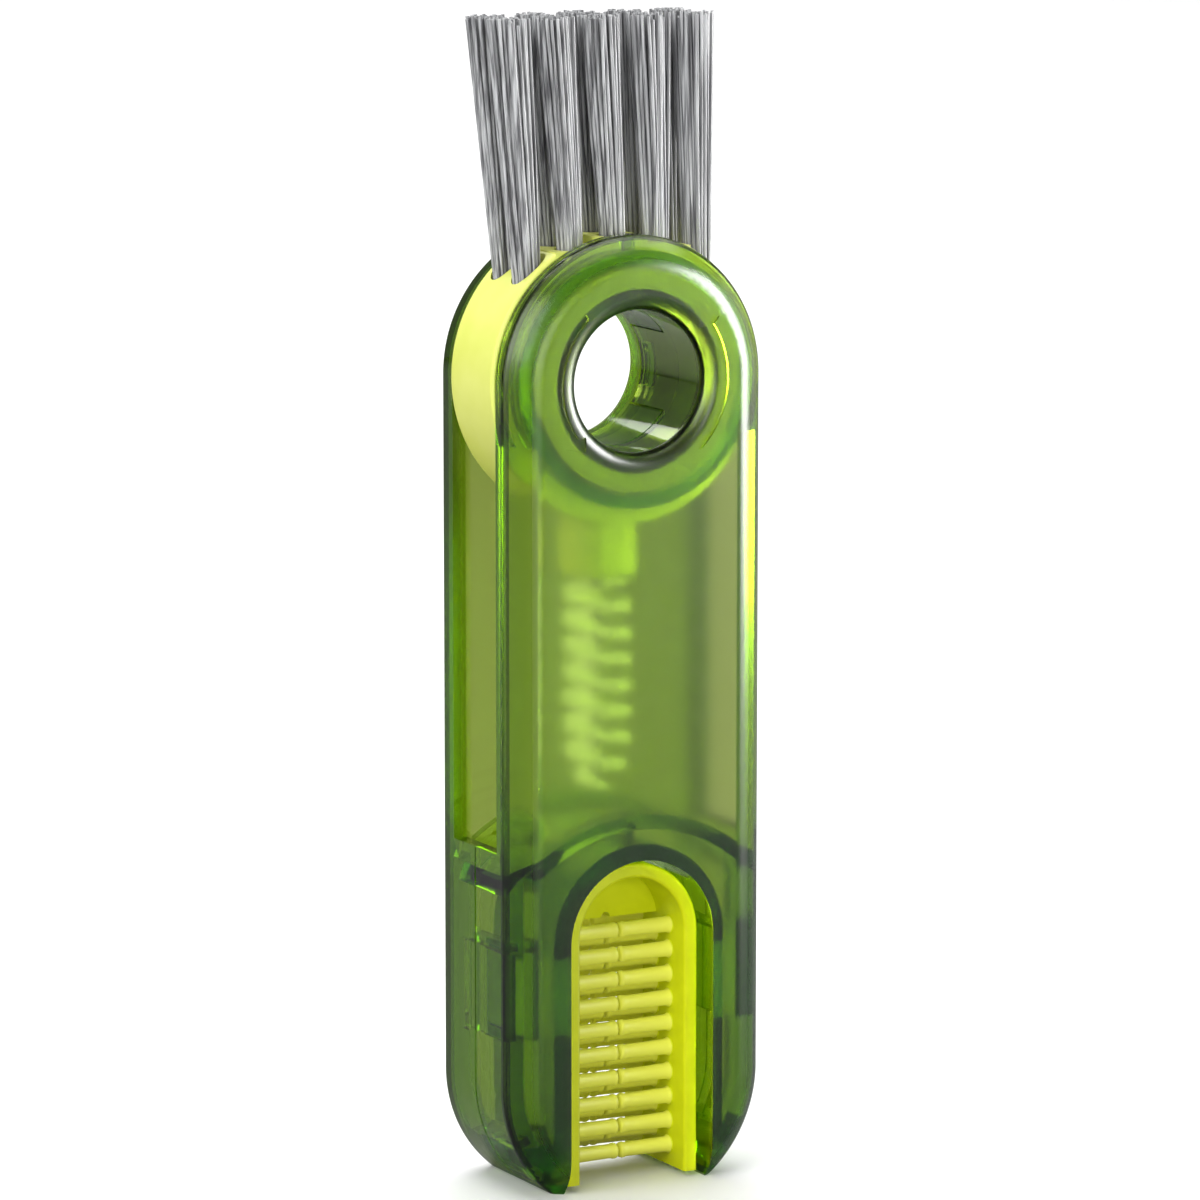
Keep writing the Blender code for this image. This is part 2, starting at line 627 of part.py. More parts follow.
def make_tuft(name, x, y, level):
    """A tuft: a round plug whose top carries three-sided strands that fan out and don't cross."""
    sides = HOLE_SIDES
    rim = [(TUFT_RADIUS * math.cos(2 * math.pi * i / sides), TUFT_RADIUS * math.sin(2 * math.pi * i / sides))
           for i in range(sides)]
    centres = strand_centres(TUFT_STRANDS, TUFT_RADIUS - STRAND_RADIUS - STRAND_MARGIN)
    flat = [Vector(point) for point in rim]
    loops = [list(range(sides))]
    for k, (cx, cy) in enumerate(centres):
        first = len(flat)
        for corner in range(3):
            angle = 2 * math.pi * corner / 3 + k
            flat.append(Vector((cx + STRAND_RADIUS * math.cos(angle), cy + STRAND_RADIUS * math.sin(angle))))
        loops.append([first, first + 1, first + 2])
    top, _, faces_2d, origin, _, from_loops = delaunay_2d_cdt(flat, [], loops, 1, 1e-6)
    index_of = {source: new for new, sources in enumerate(origin) for source in sources}
    points = [(x + p.x, y + p.y, level) for p in top]
    faces = [face for face, owners in zip(faces_2d, from_loops) if not any(owner > 0 for owner in owners)]
    lower = len(points)
    points += [(x + px, y + py, level - PLUG_LENGTH) for px, py in rim]
    faces.append([lower + i for i in range(sides)])
    for i in range(sides):
        j = (i + 1) % sides
        faces.append((index_of[i], index_of[j], lower + j, lower + i))
    tip_x = x * TUFT_FAN + TUFT_LEAN
    for k, (cx, cy) in enumerate(centres):
        foot = [index_of[i] for i in loops[k + 1]]
        first = len(points)
        for corner in range(3):
            angle = 2 * math.pi * corner / 3 + k
            points.append((tip_x + cx * TUFT_SPREAD + STRAND_TIP_RADIUS * math.cos(angle),
                           y + cy * TUFT_SPREAD + STRAND_TIP_RADIUS * math.sin(angle),
                           HUB_HEIGHT + TUFT_REACH))
        faces.append([first, first + 1, first + 2])
        for corner in range(3):
            after = (corner + 1) % 3
            faces.append((foot[corner], foot[after], first + after, first + corner))
    return solid_from(name, points, faces)


def make_tuft_anchor(name, x, y, level):
    """The small metal anchor that holds a tuft down in its hole."""
    low = level - TUFT_HOLE_DEPTH + CLEARANCE
    return block(name, (x - ANCHOR_WIDTH / 2, y - ANCHOR_THICKNESS / 2, low),
                 (x + ANCHOR_WIDTH / 2, y + ANCHOR_THICKNESS / 2, low + ANCHOR_HEIGHT))


def make_narrow_stem():
    """The twisted wire stem, from the bottom of its hole to the first bristles."""
    high = HUB_HEIGHT - ARM_REACH + STEM_HOLE_DEPTH - CLEARANCE
    low = HUB_HEIGHT - NARROW_TOP + CLEARANCE
    sides = 8
    levels = 18
    points = []
    for level in range(levels + 1):
        z = high + (low - high) * level / levels
        twist = 2 * math.pi * (high - z) / STEM_TWIST_PITCH
        for i in range(sides):
            angle = 2 * math.pi * i / sides
            u = STEM_WIDTH / 2 * math.cos(angle)
            v = STEM_THICKNESS / 2 * math.sin(angle)
            points.append((ARM_OFFSET + u * math.cos(twist) - v * math.sin(twist),
                           u * math.sin(twist) + v * math.cos(twist), z))
    faces = [list(range(sides)), list(range(levels * sides, len(points)))]
    for level in range(levels):
        for i in range(sides):
            j = (i + 1) % sides
            here = level * sides
            faces.append((here + i, here + j, here + sides + j, here + sides + i))
    return solid_from("narrow_brush_stem", points, faces)


def make_narrow_bristles():
    """The wire core and the bristles that wind round it in one spiral row."""
    sides = NARROW_SIDES
    cells_per_turn = sides // 2
    cell = NARROW_PITCH / cells_per_turn
    levels = round(NARROW_LENGTH / cell)
    high = HUB_HEIGHT - NARROW_TOP
    bm = bmesh.new()
    circle = [(ARM_OFFSET + NARROW_CORE_RADIUS * math.cos(2 * math.pi * i / sides),
               NARROW_CORE_RADIUS * math.sin(2 * math.pi * i / sides)) for i in range(sides)]
    rings = []
    for level in range(levels + 1):
        z = (high - cell * level) * MM
        rings.append([bm.verts.new((x * MM, y * MM, z)) for x, y in circle])
    grid = {}
    for level in range(levels):
        for i in range(sides):
            j = (i + 1) % sides
            grid[level, i] = bm.faces.new((rings[level][i], rings[level][j],
                                           rings[level + 1][j], rings[level + 1][i]))
    bm.faces.new(rings[0])
    bm.faces.new(rings[-1])
    bmesh.ops.recalc_face_normals(bm, faces=bm.faces)
    row = [grid[step // 2, step % sides] for step in range(2, 2 * levels - 2)]
    bmesh.ops.inset_individual(bm, faces=row, thickness=NARROW_ROOT * MM, use_even_offset=True)
    for number, face in enumerate(row):
        from_end = (len(row) - number) / sides
        share = min(1.0, NARROW_END_SHARE + NARROW_END_GROWTH * from_end)
        reach = NARROW_RADIUS * math.sqrt(share)
        grown = bmesh.ops.extrude_discrete_faces(bm, faces=[face])["faces"][0]
        middle = grown.calc_center_median()
        axis = Vector((ARM_OFFSET * MM, 0.0, middle.z))
        outward = (middle - axis).normalized()
        bmesh.ops.translate(bm, verts=grown.verts, vec=outward * (reach - NARROW_CORE_RADIUS) * MM)
        bmesh.ops.scale(bm, verts=grown.verts, vec=(BRISTLE_FLARE, BRISTLE_FLARE, BRISTLE_FLATNESS),
                        space=Matrix.Translation(-grown.calc_center_median()))
    mesh = bpy.data.meshes.new("narrow_brush_bristles")
    bm.to_mesh(mesh)
    bm.free()
    item = bpy.data.objects.new("narrow_brush_bristles", mesh)
    bpy.context.scene.collection.objects.link(item)
    return item


def liner_outline(inset):
    """The rim brush seen from the front, drawn in on both sides by the inset."""
    outer = LINER_OUTER - inset
    over = arc(0.0, SLOT_CROWN_HEIGHT, outer, 0.0, math.pi, CROWN_STEPS)
    return horseshoe([(outer, LINER_FOOT)], over, LINER_INNER + inset, SLOT_CROWN_HEIGHT, LINER_FOOT)


def make_rim_brush():
    """The rubber lining of the slot: lugs outside, rows of rods and a web inside."""
    sections = []
    for inset, drop in reversed(rounded_edge(LINER_ROUND)):
        sections.append((-LINER_HALF + drop, liner_outline(inset)))
    for inset, drop in rounded_edge(LINER_ROUND):
        sections.append((LINER_HALF - drop, liner_outline(inset)))
    liner = loft("rim_brush", sections)
    overlap = LINER_WALL / 2
    for hand in (-1, 1):
        low = (hand * (LINER_OUTER - overlap), -WINDOW_DEPTH / 2 + CLEARANCE, WINDOW_LOW + CLEARANCE)
        high = (hand * LUG_REACH, WINDOW_DEPTH / 2 - CLEARANCE, WINDOW_HIGH - CLEARANCE)
        add(liner, block("lug", low, high))
    crown = arc(0.0, SLOT_CROWN_HEIGHT, LINER_INNER + overlap, 0.0, math.pi, CROWN_STEPS)
    web_outline = [(x, max(z, WEB_LOW)) for x, z in crown if z >= WEB_LOW - LINER_WALL]
    web = plate("web", web_outline, -WEB_THICKNESS / 2, WEB_THICKNESS / 2)
    notch = [(WEB_NOTCH_RADIUS, -WALL), (WEB_NOTCH_RADIUS, WALL)]
    cut(web, turned("web_notch", notch, 0.0, WEB_LOW, HOLE_SIDES))
    add(liner, web)
    add(liner, rim_rods())
    return liner


def rim_rods():
    """All rods of the rim brush, from both walls to the middle, in three staggered layers."""
    sides = 6
    points = []
    faces = []
    for layer in (-1, 0, 1):
        rows = ROD_ROWS if layer else ROD_ROWS - 1
        drop = 0.0 if layer else ROD_PITCH / 2
        for row in range(rows):
            z = SLOT_CROWN_HEIGHT - drop - ROD_PITCH * row
            for hand in (-1, 1):
                first = len(points)
                root = LINER_INNER + LINER_WALL / 3
                for x, radius in ((root, ROD_RADIUS), (CLEARANCE / 2, ROD_TIP_RADIUS)):
                    for i in range(sides):
                        angle = 2 * math.pi * (i + 0.5) / sides
                        points.append((hand * x, layer * ROD_LAYER_SPACING + radius * math.cos(angle),
                                       z + radius * math.sin(angle)))
                faces.append([first + i for i in range(sides)])
                faces.append([first + sides + i for i in range(sides)])
                for i in range(sides):
                    j = (i + 1) % sides
                    faces.append((first + i, first + j, first + sides + j, first + sides + i))
    return solid_from("rods", points, faces)


def shade(item, material, sharp_degrees=35):
    item.data.materials.clear()
    item.data.materials.append(material)
    item.data.shade_smooth()
    item.data.set_sharp_from_angle(angle=math.radians(sharp_degrees))


def set_origin(item, x, y, z):
    """Moves an object's origin and leaves its shape in place."""
    place = Vector((x, y, z)) * MM
    item.data.transform(Matrix.Translation(-place))
    item.location = place


def build():
    clear_scene()
    shell_material = plastic("translucent_green_shell", SHELL_PLASTIC)
    lime_material = plastic("lime_carrier", LIME_PLASTIC)
    rubber_material = plastic("lime_rubber", LIME_RUBBER)
    grey_material = plastic("grey_nylon", GREY_NYLON)
    white_material = plastic("white_nylon", WHITE_NYLON)
    steel_material = plastic("steel_wire", STEEL)
    brass_material = plastic("brass_anchor", BRASS)

    for shell in (make_front_shell(), make_back_shell()):
        shade(shell, shell_material)
    shade(make_rim_brush(), rubber_material)

    moving = []
    carrier = make_brush_carrier()
    shade(carrier, lime_material)
    moving.append(carrier)
    for number, (x, y, level) in enumerate(tuft_places(), start=1):
        tuft = make_tuft(f"tuft_{number:02d}", x, y, level)
        shade(tuft, grey_material, 20)
        moving.append(tuft)
        anchor = make_tuft_anchor(f"tuft_anchor_{number:02d}", x, y, level)
        shade(anchor, brass_material)
        moving.append(anchor)
    stem = make_narrow_stem()
    shade(stem, steel_material)
    moving.append(stem)
    bristles = make_narrow_bristles()
    shade(bristles, white_material)
    moving.append(bristles)
    for item in moving:
        set_origin(item, 0.0, 0.0, HUB_HEIGHT)


build()
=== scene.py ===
import math
import random

import bmesh
import bpy
from mathutils import Matrix, Vector


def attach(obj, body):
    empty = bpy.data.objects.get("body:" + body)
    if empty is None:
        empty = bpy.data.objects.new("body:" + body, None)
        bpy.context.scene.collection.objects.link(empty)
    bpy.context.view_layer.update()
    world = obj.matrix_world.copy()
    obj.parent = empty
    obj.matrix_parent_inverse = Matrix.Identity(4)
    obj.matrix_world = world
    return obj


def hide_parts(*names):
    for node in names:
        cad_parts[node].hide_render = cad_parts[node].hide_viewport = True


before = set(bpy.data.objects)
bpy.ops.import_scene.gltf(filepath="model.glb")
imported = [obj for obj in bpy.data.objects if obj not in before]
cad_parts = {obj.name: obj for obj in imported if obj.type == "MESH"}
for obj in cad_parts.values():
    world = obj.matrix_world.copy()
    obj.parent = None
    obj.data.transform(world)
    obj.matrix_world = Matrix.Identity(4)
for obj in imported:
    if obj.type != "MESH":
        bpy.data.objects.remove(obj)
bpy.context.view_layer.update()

# Pieces are modelled in millimetres and set down in the frame's metres by settle()
MM = 0.001

# Sides of what is round, steps of a rounding, how far cutting tools reach past what they cut, a small
# offset that keeps their walls apart, and the least length that counts
FINE = 192
SMALL_ROUND = 32
ROUND = 5
BEYOND = 30.0
SHY = 0.05
TINY = 0.001

# Handle: the solids' outline, with a deeper back flange and a softly crowned edge
BODY_HALF = 19.5
HUB = 110.5
END_CENTRE = 14.8
END_SHIFT = 0.69
FLANGE = {-1: 8.3, 1: 9.3}
FACE = 11.56
WALL = 1.8
CEILING = FACE - WALL
PANEL_INNER = 6.35
PARTING = 0.15
CLEARANCE = 0.3
CROWN = 4.8
CROWN_STEPS = 8
FLANGE_ROUND = 0.35

# Chamber, slot and arch; what is drawn down to DOME_LOW and SLOT_LOW reaches past the foot
SIDE_INNER = 17.6
SIDE_WALL_TOP = 47.3
ARCH_OUTER = 25.0
ARCH_INNER = 23.1
ARCH_CENTRE = 26.5
DOME_LOW = -60.0
CHAMBER_FLOOR = 7.0
RECESS_HALF = 15.0
RECESS_MOUTH = 17.7
RECESS_TOP = HUB - 8.0
SLOT_HALF = 10.9
SLOT_WALL = 2.0
SLOT_CROWN = 34.6
SLOT_LOW = -40.0
WINDOW_LOW = 21.2
WINDOW_HIGH = 32.3
WINDOW_DEPTH = 10.6

# Hub
BORE = 9.6
LIP_ROUND = 2.1
LIP_STEPS = 10
FINGER_OUTER = 10.6
TUBE_INNER = 10.9
TUBE_OUTER = 12.1
RING_END = -2.5
FINGER_END = 6.8
FINGER_ANGLE = 33.0
FINGER_PLAY = 1.8
HOOK_RISE = 1.1
HOOK_LENGTH = 1.5
HOOK_WIDTH = 6.0
WINDOW_LENGTH = 2.1
WINDOW_WIDTH = 6.6
DRAIN_NEAR = 1.5
DRAIN_FAR = 8.0
DRAIN_WIDTH = 11.0
POCKET = 15.5
RING_OUTER = 17.2
RIM_GROOVE = 18.5
GROOVE_ROOF = CEILING - 0.9
GROOVE_SLOPE = 1.3

# Tongues
TONGUE_LOW = 21.5
TONGUE_HIGH = 33.5
TONGUE_WALL = 1.2
TONGUE_FOOT = -PANEL_INNER - 0.4
TONGUE_ROOT = -1.2
TONGUE_END = 4.6
TONGUE_HOOK = 0.8

# Ribs in two steps, each from a tail and a root to an outer side and an end, with half its width
SIDE_RIB = 34.5
LOWER_RIB = 7.3
RIB_STEPS = ((-1.9, -PANEL_INNER - 0.6, 0.3, -1.2, 0.6), (-1.8, -3.0, -0.3, 2.6, 0.48))

# Pegs, pips and dimples
PEG_X = 12.8
PEG_Z = 3.2
PEG = 1.0
PEG_END = 4.6
SOCKET = 1.3
PIP = 0.9
PIP_CIRCLE = 17.7
PIP_HEIGHT = 0.15
DIMPLE = 1.0
DIMPLE_DEPTH = 0.3

# Arrows on a circle round the hub; their ends are in degrees, and each corner of the head is given as
# how far out it lies from the circle, and in degrees
ARROW = 12.5
ARROW_HALF = 0.55
ARROW_DEPTH = 0.4
ARROW_TAIL = -48
ARROW_NECK = 36
ARROW_HEAD = ((1.75, 35.5), (-0.1, 45.5), (-1.6, 38.5))

# Frost on the crowned edge against the flat face, the level past which the outer edge gets a painted dark
# shade, and how far below the face's level its frost still reaches
CROWN_FROST = 0.8
EDGE_SHADE_LEVEL = 7.5
FROST_REACH = 0.5

# Rotor
RIM = 20.0
RIM_DEPTH = 6.05
BOSS = 15.1
BOSS_DEPTH = 9.46
ROTOR_BORE = 12.4
LAND_MIDDLE = 19.0
LAND_SIDE = 17.4
LAND_MIDDLE_HALF = 3.4
LAND_SIDE_HALF = 10.2
ARM_X = -1.2
ARM_HALF = 4.8
ARM_REACH = 27.3
ARM_ROUND = 3.6
ARM_END_ROUND = 0.9

# Tufts
OUTER_LEVEL = 12.0
TUFT_PITCH = 6.4
TUFT_ROW = 3.0
TUFT_REACH = 48.6
TUFT_RADIUS = 2.0
TUFT_STRANDS = 64
TUFT_SPREAD = 1.5
TUFT_FAN = 1.09
TUFT_LEAN = -2.0
TUFT_FOOT = 0.93
TUFT_RAGGED = 0.22
TUFT_SHORT = 0.35
TUFT_BOW = 0.12
STRAND = 0.22
STRAND_FLARE = 1.06
ANY_TURN = 6.28
PLUG = 1.6
HOLE_DEPTH = 3.6
HOLE_PLAY = 0.3

# Narrow brush and its wire
NARROW_TOP = 28.4
NARROW_LENGTH = 28.0
NARROW_RADIUS = 4.7
NARROW_PITCH = 3.6
NARROW_STRANDS = 3200
NARROW_STRAND = 0.11
NARROW_TIP = 0.10
NARROW_ROOT = 0.3
NARROW_SHORT = 0.93
NARROW_TURN = 0.12
NARROW_ROW = 0.38
NARROW_BOW = 0.1
WIRE = 0.4
WIRE_SIDES = 14
WIRE_CUTS = 100
WIRE_TWIST = 4.8
WIRE_GRIP = 5.7
STEM_HOLE = 1.1

# Slot lining, which is drawn down to LINER_LOW and cut off at LINER_FOOT
LINER_LOW = -20.0
LINER_OUTER = 10.0
LINER_INNER = 8.0
LINER_HALF = 8.8
LINER_FOOT = 0.8
LUG_REACH = 13.0
LINER_ROUND = 0.5
WEB_LOW = 35.7
WEB_HALF = 0.8
WEB_NOTCH = 0.7
ROD_ROWS = 10
ROD_PITCH = 3.43
ROD_SPACING = 4.2
ROD_SIDES = 28
ROD_FULLER = 1.12
ROD_PROFILE = [(0.0, 8.6), (1.5, 8.6), (1.35, 8.0), (1.16, 7.7), (1.08, 7.3), (0.98, 1.6), (0.99, 1.15),
               (1.09, 0.85), (1.10, 0.55), (1.02, 0.30), (0.80, 0.18), (0.0, 0.15)]

# Colours; GREEN_BODY and GREEN_DENSITY say what light loses on its way through the green plastic
GREEN_SURFACE = (0.91, 0.96, 0.80)
# Painted shade: the next colour darkens the shells' outer edge, which looks dark only from light passing
# lengthwise through the clear plastic
GREEN_EDGE_SHADE = (0.10, 0.12, 0.09)
GREEN_BODY = (0.79, 0.885, 0.15)
GREEN_DENSITY = 1000.0
LIME = ((0.80, 0.86, 0.16), (0.87, 0.92, 0.22))
# Painted shade: the rotor's boss sits deep inside the shells and is darkened to this olive
BOSS_SHADE_OLIVE = (0.30, 0.35, 0.02)
RUBBER = ((0.70, 0.76, 0.003), (0.79, 0.85, 0.008))
# Painted light: the rods down in the slot are lifted to this lighter lemon
ROD_PAINTED_LIGHT = (0.96, 0.97, 0.12)
GREY_NYLON = ((0.13, 0.13, 0.14), (0.62, 0.63, 0.64))
WHITE_NYLON = ((0.90, 0.92, 0.90), (0.97, 0.98, 0.96))
# Painted light: the white filaments glow faintly, standing in for light passing through them
WHITE_GLOW = 0.14
GLOW_COLOUR = (0.9, 1.0, 0.85)
STEEL = (0.55, 0.56, 0.57)
BRASS = (0.66, 0.50, 0.24)
FLOOR_SEEN = (0.9, 0.9, 0.9)
FLOOR_BOUNCE = (0.26, 0.26, 0.26)
ROOM_LIGHT = 0.18

# Lamps: name, place and aim in metres, size and watts
STUDIO = (("sweep", (0.5, 1.3, 1.6), (0.5, 1.3, 0.0), (2.4, 2.8), 62.0),
          ("left_soft", (-0.60, -0.30, 0.45), (0, 0, 0.09), (0.5, 0.5), 3.2),
          ("front_soft", (-0.20, -0.92, 0.20), (0, 0, 0.08), (0.5, 0.4), 3.0),
          ("side_soft", (-0.60, -0.07, 0.20), (0, 0, 0.09), (0.25, 0.30), 0.6),
          ("gloss_card", (0.30, -0.17, 0.16), (0.01, 0, 0.11), (0.20, 0.26), 4.5),
          ("right_soft", (0.60, 0.05, 0.12), (0, 0, 0.09), (0.4, 0.4), 0.5),
          ("top_soft", (0.0, 0.05, 0.9), (0, 0, 0.08), (0.7, 0.7), 2.5))

# The photograph's camera: degrees, metres, and the focal length and frame in pixels
CAMERA_TURN = -28.0
CAMERA_RISE = 9.4
CAMERA_AIM = (-0.0004, 0.0, 0.0795)
CAMERA_AWAY = 0.879
FOCAL_PIXELS = 6484
FRAME_PIXELS = 1200


def deselect():
    bpy.ops.object.select_all(action="DESELECT")


def take(piece):
    """Makes a piece the only selected one and the active one."""
    deselect()
    piece.select_set(True)
    bpy.context.view_layer.objects.active = piece


def added(name):
    """Names the primitive that was just added and bakes its place into its mesh."""
    piece = bpy.context.view_layer.objects.active
    piece.name = name
    bpy.ops.object.transform_apply(location=True, rotation=True, scale=True)
    return piece


def disc(name, radius, near, far, x=0.0, z=HUB, sides=FINE):
    """A cylinder about an axis along Y, between two depths."""
    deselect()
    bpy.ops.mesh.primitive_cylinder_add(vertices=sides, radius=radius, depth=abs(far - near),
                                        location=(x, (near + far) / 2, z), rotation=(math.pi / 2, 0, 0))
    return added(name)


def bar(name, low, high):
    """A box between two corners, given in any order."""
    deselect()
    middle = [(a + b) / 2 for a, b in zip(low, high)]
    bpy.ops.mesh.primitive_cube_add(size=1, location=middle)
    piece = bpy.context.view_layer.objects.active
    piece.scale = [abs(b - a) for a, b in zip(low, high)]
    return added(name)


def pick(piece, kind, test):
    """In edit mode, selects the verts, edges or faces whose middle passes a test."""
    bpy.ops.mesh.select_all(action="DESELECT")
    mode = {"verts": "VERT", "edges": "EDGE", "faces": "FACE"}[kind]
    bpy.ops.mesh.select_mode(type=mode)
    bm = bmesh.from_edit_mesh(piece.data)
    for part in getattr(bm, kind):
        if kind == "verts":
            part.select = test(part.co)
        elif kind == "edges":
            part.select_set(test(part.verts[0].co, part.verts[1].co))
        else:
            part.select_set(test(part.calc_center_median(), part.normal))
    bm.select_flush_mode()
    bmesh.update_edit_mesh(piece.data)


def editing(piece):
    take(piece)
    bpy.ops.object.mode_set(mode="EDIT")


def done():
    bpy.ops.object.mode_set(mode="OBJECT")


def capsule(name, radius, top, low, near, far):
    """A disc whose lower half is drawn down to another centre: the outline of slots and handles."""
    piece = disc(name, radius, near, far, z=top)
    editing(piece)
    pick(piece, "verts", lambda co: co.z < top - TINY)
    bpy.ops.transform.translate(value=(0, 0, low - top))
    done()
    return piece


def handle_form(name, inset, near, far):
    """The handle seen from the front, drawn in by an inset: round top, straight sides, two end arcs."""
    radius = BODY_HALF - inset
    piece = capsule(name, radius, HUB, END_CENTRE, near, far)
    share = (radius - END_SHIFT) / radius
    for vert in piece.data.vertices:
        if vert.co.z < END_CENTRE - TINY:
            vert.co.x = math.copysign(END_SHIFT + abs(vert.co.x) * share, vert.co.x)
            vert.co.z = END_CENTRE + (vert.co.z - END_CENTRE) * share
    return piece


def plate(name, outline, near, far):
    """A flat outline in X and Z, extruded along Y."""
    mesh = bpy.data.meshes.new(name)
    mesh.from_pydata([(x, near, z) for x, z in outline], [], [range(len(outline))])
    piece = bpy.data.objects.new(name, mesh)
    bpy.context.scene.collection.objects.link(piece)
    editing(piece)
    bpy.ops.mesh.select_all(action="SELECT")
    bpy.ops.mesh.extrude_region_move(TRANSFORM_OT_translate={"value": (0, far - near, 0)})
    bpy.ops.mesh.select_all(action="SELECT")
    bpy.ops.mesh.normals_make_consistent(inside=False)
    done()
    return piece


def upright(name, x, y, low, high, radius, sides=40):
    """A cylinder along Z."""
    deselect()
    bpy.ops.mesh.primitive_cylinder_add(vertices=sides, radius=radius, depth=high - low,
                                        location=(x, y, (low + high) / 2))
    return added(name)


def slice_off(piece, point, normal):
    """Cuts a piece on a plane, throws away the side the normal points to and closes the cut."""
    editing(piece)
    bpy.ops.mesh.select_all(action="SELECT")
    bpy.ops.mesh.bisect(plane_co=point, plane_no=normal, use_fill=True, clear_outer=True,
                        threshold=TINY / 10)
    done()


def combine(piece, tool, operation="DIFFERENCE"):
    """Boolean with a tool, which is used up."""
    take(piece)
    step = piece.modifiers.new("combine", "BOOLEAN")
    step.operation = operation
    step.solver = "EXACT"
    step.object = tool
    bpy.ops.object.modifier_apply(modifier=step.name)
    bpy.data.objects.remove(tool, do_unlink=True)
    return piece


def join_to(piece, tool):
    return combine(piece, tool, "UNION")


def soften(piece, width, segments=3):
    """Rounds the sharp edges of a piece."""
    take(piece)
    step = piece.modifiers.new("soften", "BEVEL")
    step.width = width
    step.segments = segments
    step.limit_method = "ANGLE"
    step.angle_limit = math.radians(35)
    step.use_clamp_overlap = True
    bpy.ops.object.modifier_apply(modifier=step.name)


def smooth(piece, angle=32):
    """Smooth shading up to an angle, with the normals weighed by the size of the faces."""
    take(piece)
    bpy.ops.object.shade_smooth_by_angle(angle=math.radians(angle))
    step = piece.modifiers.new("weigh", "WEIGHTED_NORMAL")
    step.keep_sharp = True
    step.weight = 80
    bpy.ops.object.modifier_apply(modifier=step.name)


def settle(piece, material, body, node):
    """Sets a finished piece down in the frame: metres, its material, its body and the node it replaces."""
    take(piece)
    piece.data.transform(Matrix.Scale(MM, 4))
    piece.data.update()
    piece.data.materials.clear()
    piece.data.materials.append(material)
    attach(piece, body)
    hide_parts(node)


class Value:
    """One shader value; Python's own operators on it add Math nodes to its tree."""

    def __init__(self, maker, socket):
        self.maker = maker
        self.socket = socket

    def _math(self, operation, first, second=None):
        inputs = [first] if second is None else [first, second]
        return self.maker.node("ShaderNodeMath", inputs, operation=operation)

    def __add__(self, other): return self._math("ADD", self, other)
    def __radd__(self, other): return self._math("ADD", other, self)
    def __sub__(self, other): return self._math("SUBTRACT", self, other)
    def __rsub__(self, other): return self._math("SUBTRACT", other, self)
    def __mul__(self, other): return self._math("MULTIPLY", self, other)
    def __rmul__(self, other): return self._math("MULTIPLY", other, self)
    def __gt__(self, other): return self._math("GREATER_THAN", self, other)
    def __lt__(self, other): return self._math("LESS_THAN", self, other)
    def __abs__(self): return self._math("ABSOLUTE", self)


class Finish:
    """A material on one Principled shader, with its own node maker."""

    def __init__(self, name, **constants):
        self.material = bpy.data.materials.new(name)
        self.material.use_nodes = True
        self.tree = self.material.node_tree
        self.shader = self.tree.nodes["Principled BSDF"]
        for key, value in constants.items():
            socket = self.shader.inputs[key.replace("_", " ").title().replace("Ior", "IOR")]
            socket.default_value = (*value, 1.0) if isinstance(value, tuple) else value

    def node(self, kind, inputs=(), output=0, **settings):
        """Any node: its settings first, then values or links for its inputs, by place or by name."""
        made = self.tree.nodes.new(kind)
        for key, value in settings.items():
            if key == "stops":
                ramp = made.color_ramp
                while len(ramp.elements) < len(value):
                    ramp.elements.new(0.5)
                for element, (place, colour) in zip(ramp.elements, value):
                    element.position = place
                    element.color = (*colour, 1.0)
            else:
                setattr(made, key, value)
        pairs = inputs.items() if isinstance(inputs, dict) else enumerate(inputs)
        for key, value in pairs:
            self.link(value, made.inputs[key])
        return Value(self, made.outputs[output])

    def link(self, value, socket):
        if isinstance(value, Value):
            self.tree.links.new(value.socket, socket)
        elif value is not None:
            socket.default_value = (*value, 1.0) if isinstance(value, tuple) and len(value) == 3 \
                and socket.type == "RGBA" else value

    def feed(self, name, value):
        self.link(value, self.shader.inputs[name])

    def place(self, scale=(1.0, 1.0, 1.0)):
        """Object coordinates in millimetres, stretched by a scale."""
        where = self.node("ShaderNodeTexCoord", output="Object")
        return self.node("ShaderNodeMapping", {"Vector": where, "Scale": tuple(s / MM for s in scale)})

    def axes(self):
        """X, Y and Z of a point, in millimetres."""
        split = self.node("ShaderNodeSeparateXYZ", [self.place()]).socket.node
        return [Value(self, output) for output in split.outputs]

    def noise(self, scale, detail=3.0, stretch=(1.0, 1.0, 1.0)):
        """Noise with a scale in waves per millimetre."""
        inputs = {"Vector": self.place(stretch), "Scale": scale, "Detail": detail}
        return self.node("ShaderNodeTexNoise", inputs, output="Fac")

    def mark(self, name):
        """A face attribute of the mesh."""
        return self.node("ShaderNodeAttribute", output="Fac", attribute_name=name)

    def ramp(self, value, *stops):
        return self.node("ShaderNodeValToRGB", [value], stops=stops)

    def blend(self, factor, first, second):
        """A mix of two colours."""
        inputs = {0: factor, 6: first, 7: second}
        return self.node("ShaderNodeMix", inputs, output=2, data_type="RGBA")

    def bump(self, height, strength, distance):
        made = self.node("ShaderNodeBump", {"Strength": strength, "Distance": distance, "Height": height},
                         output="Normal")
        self.feed("Normal", made)


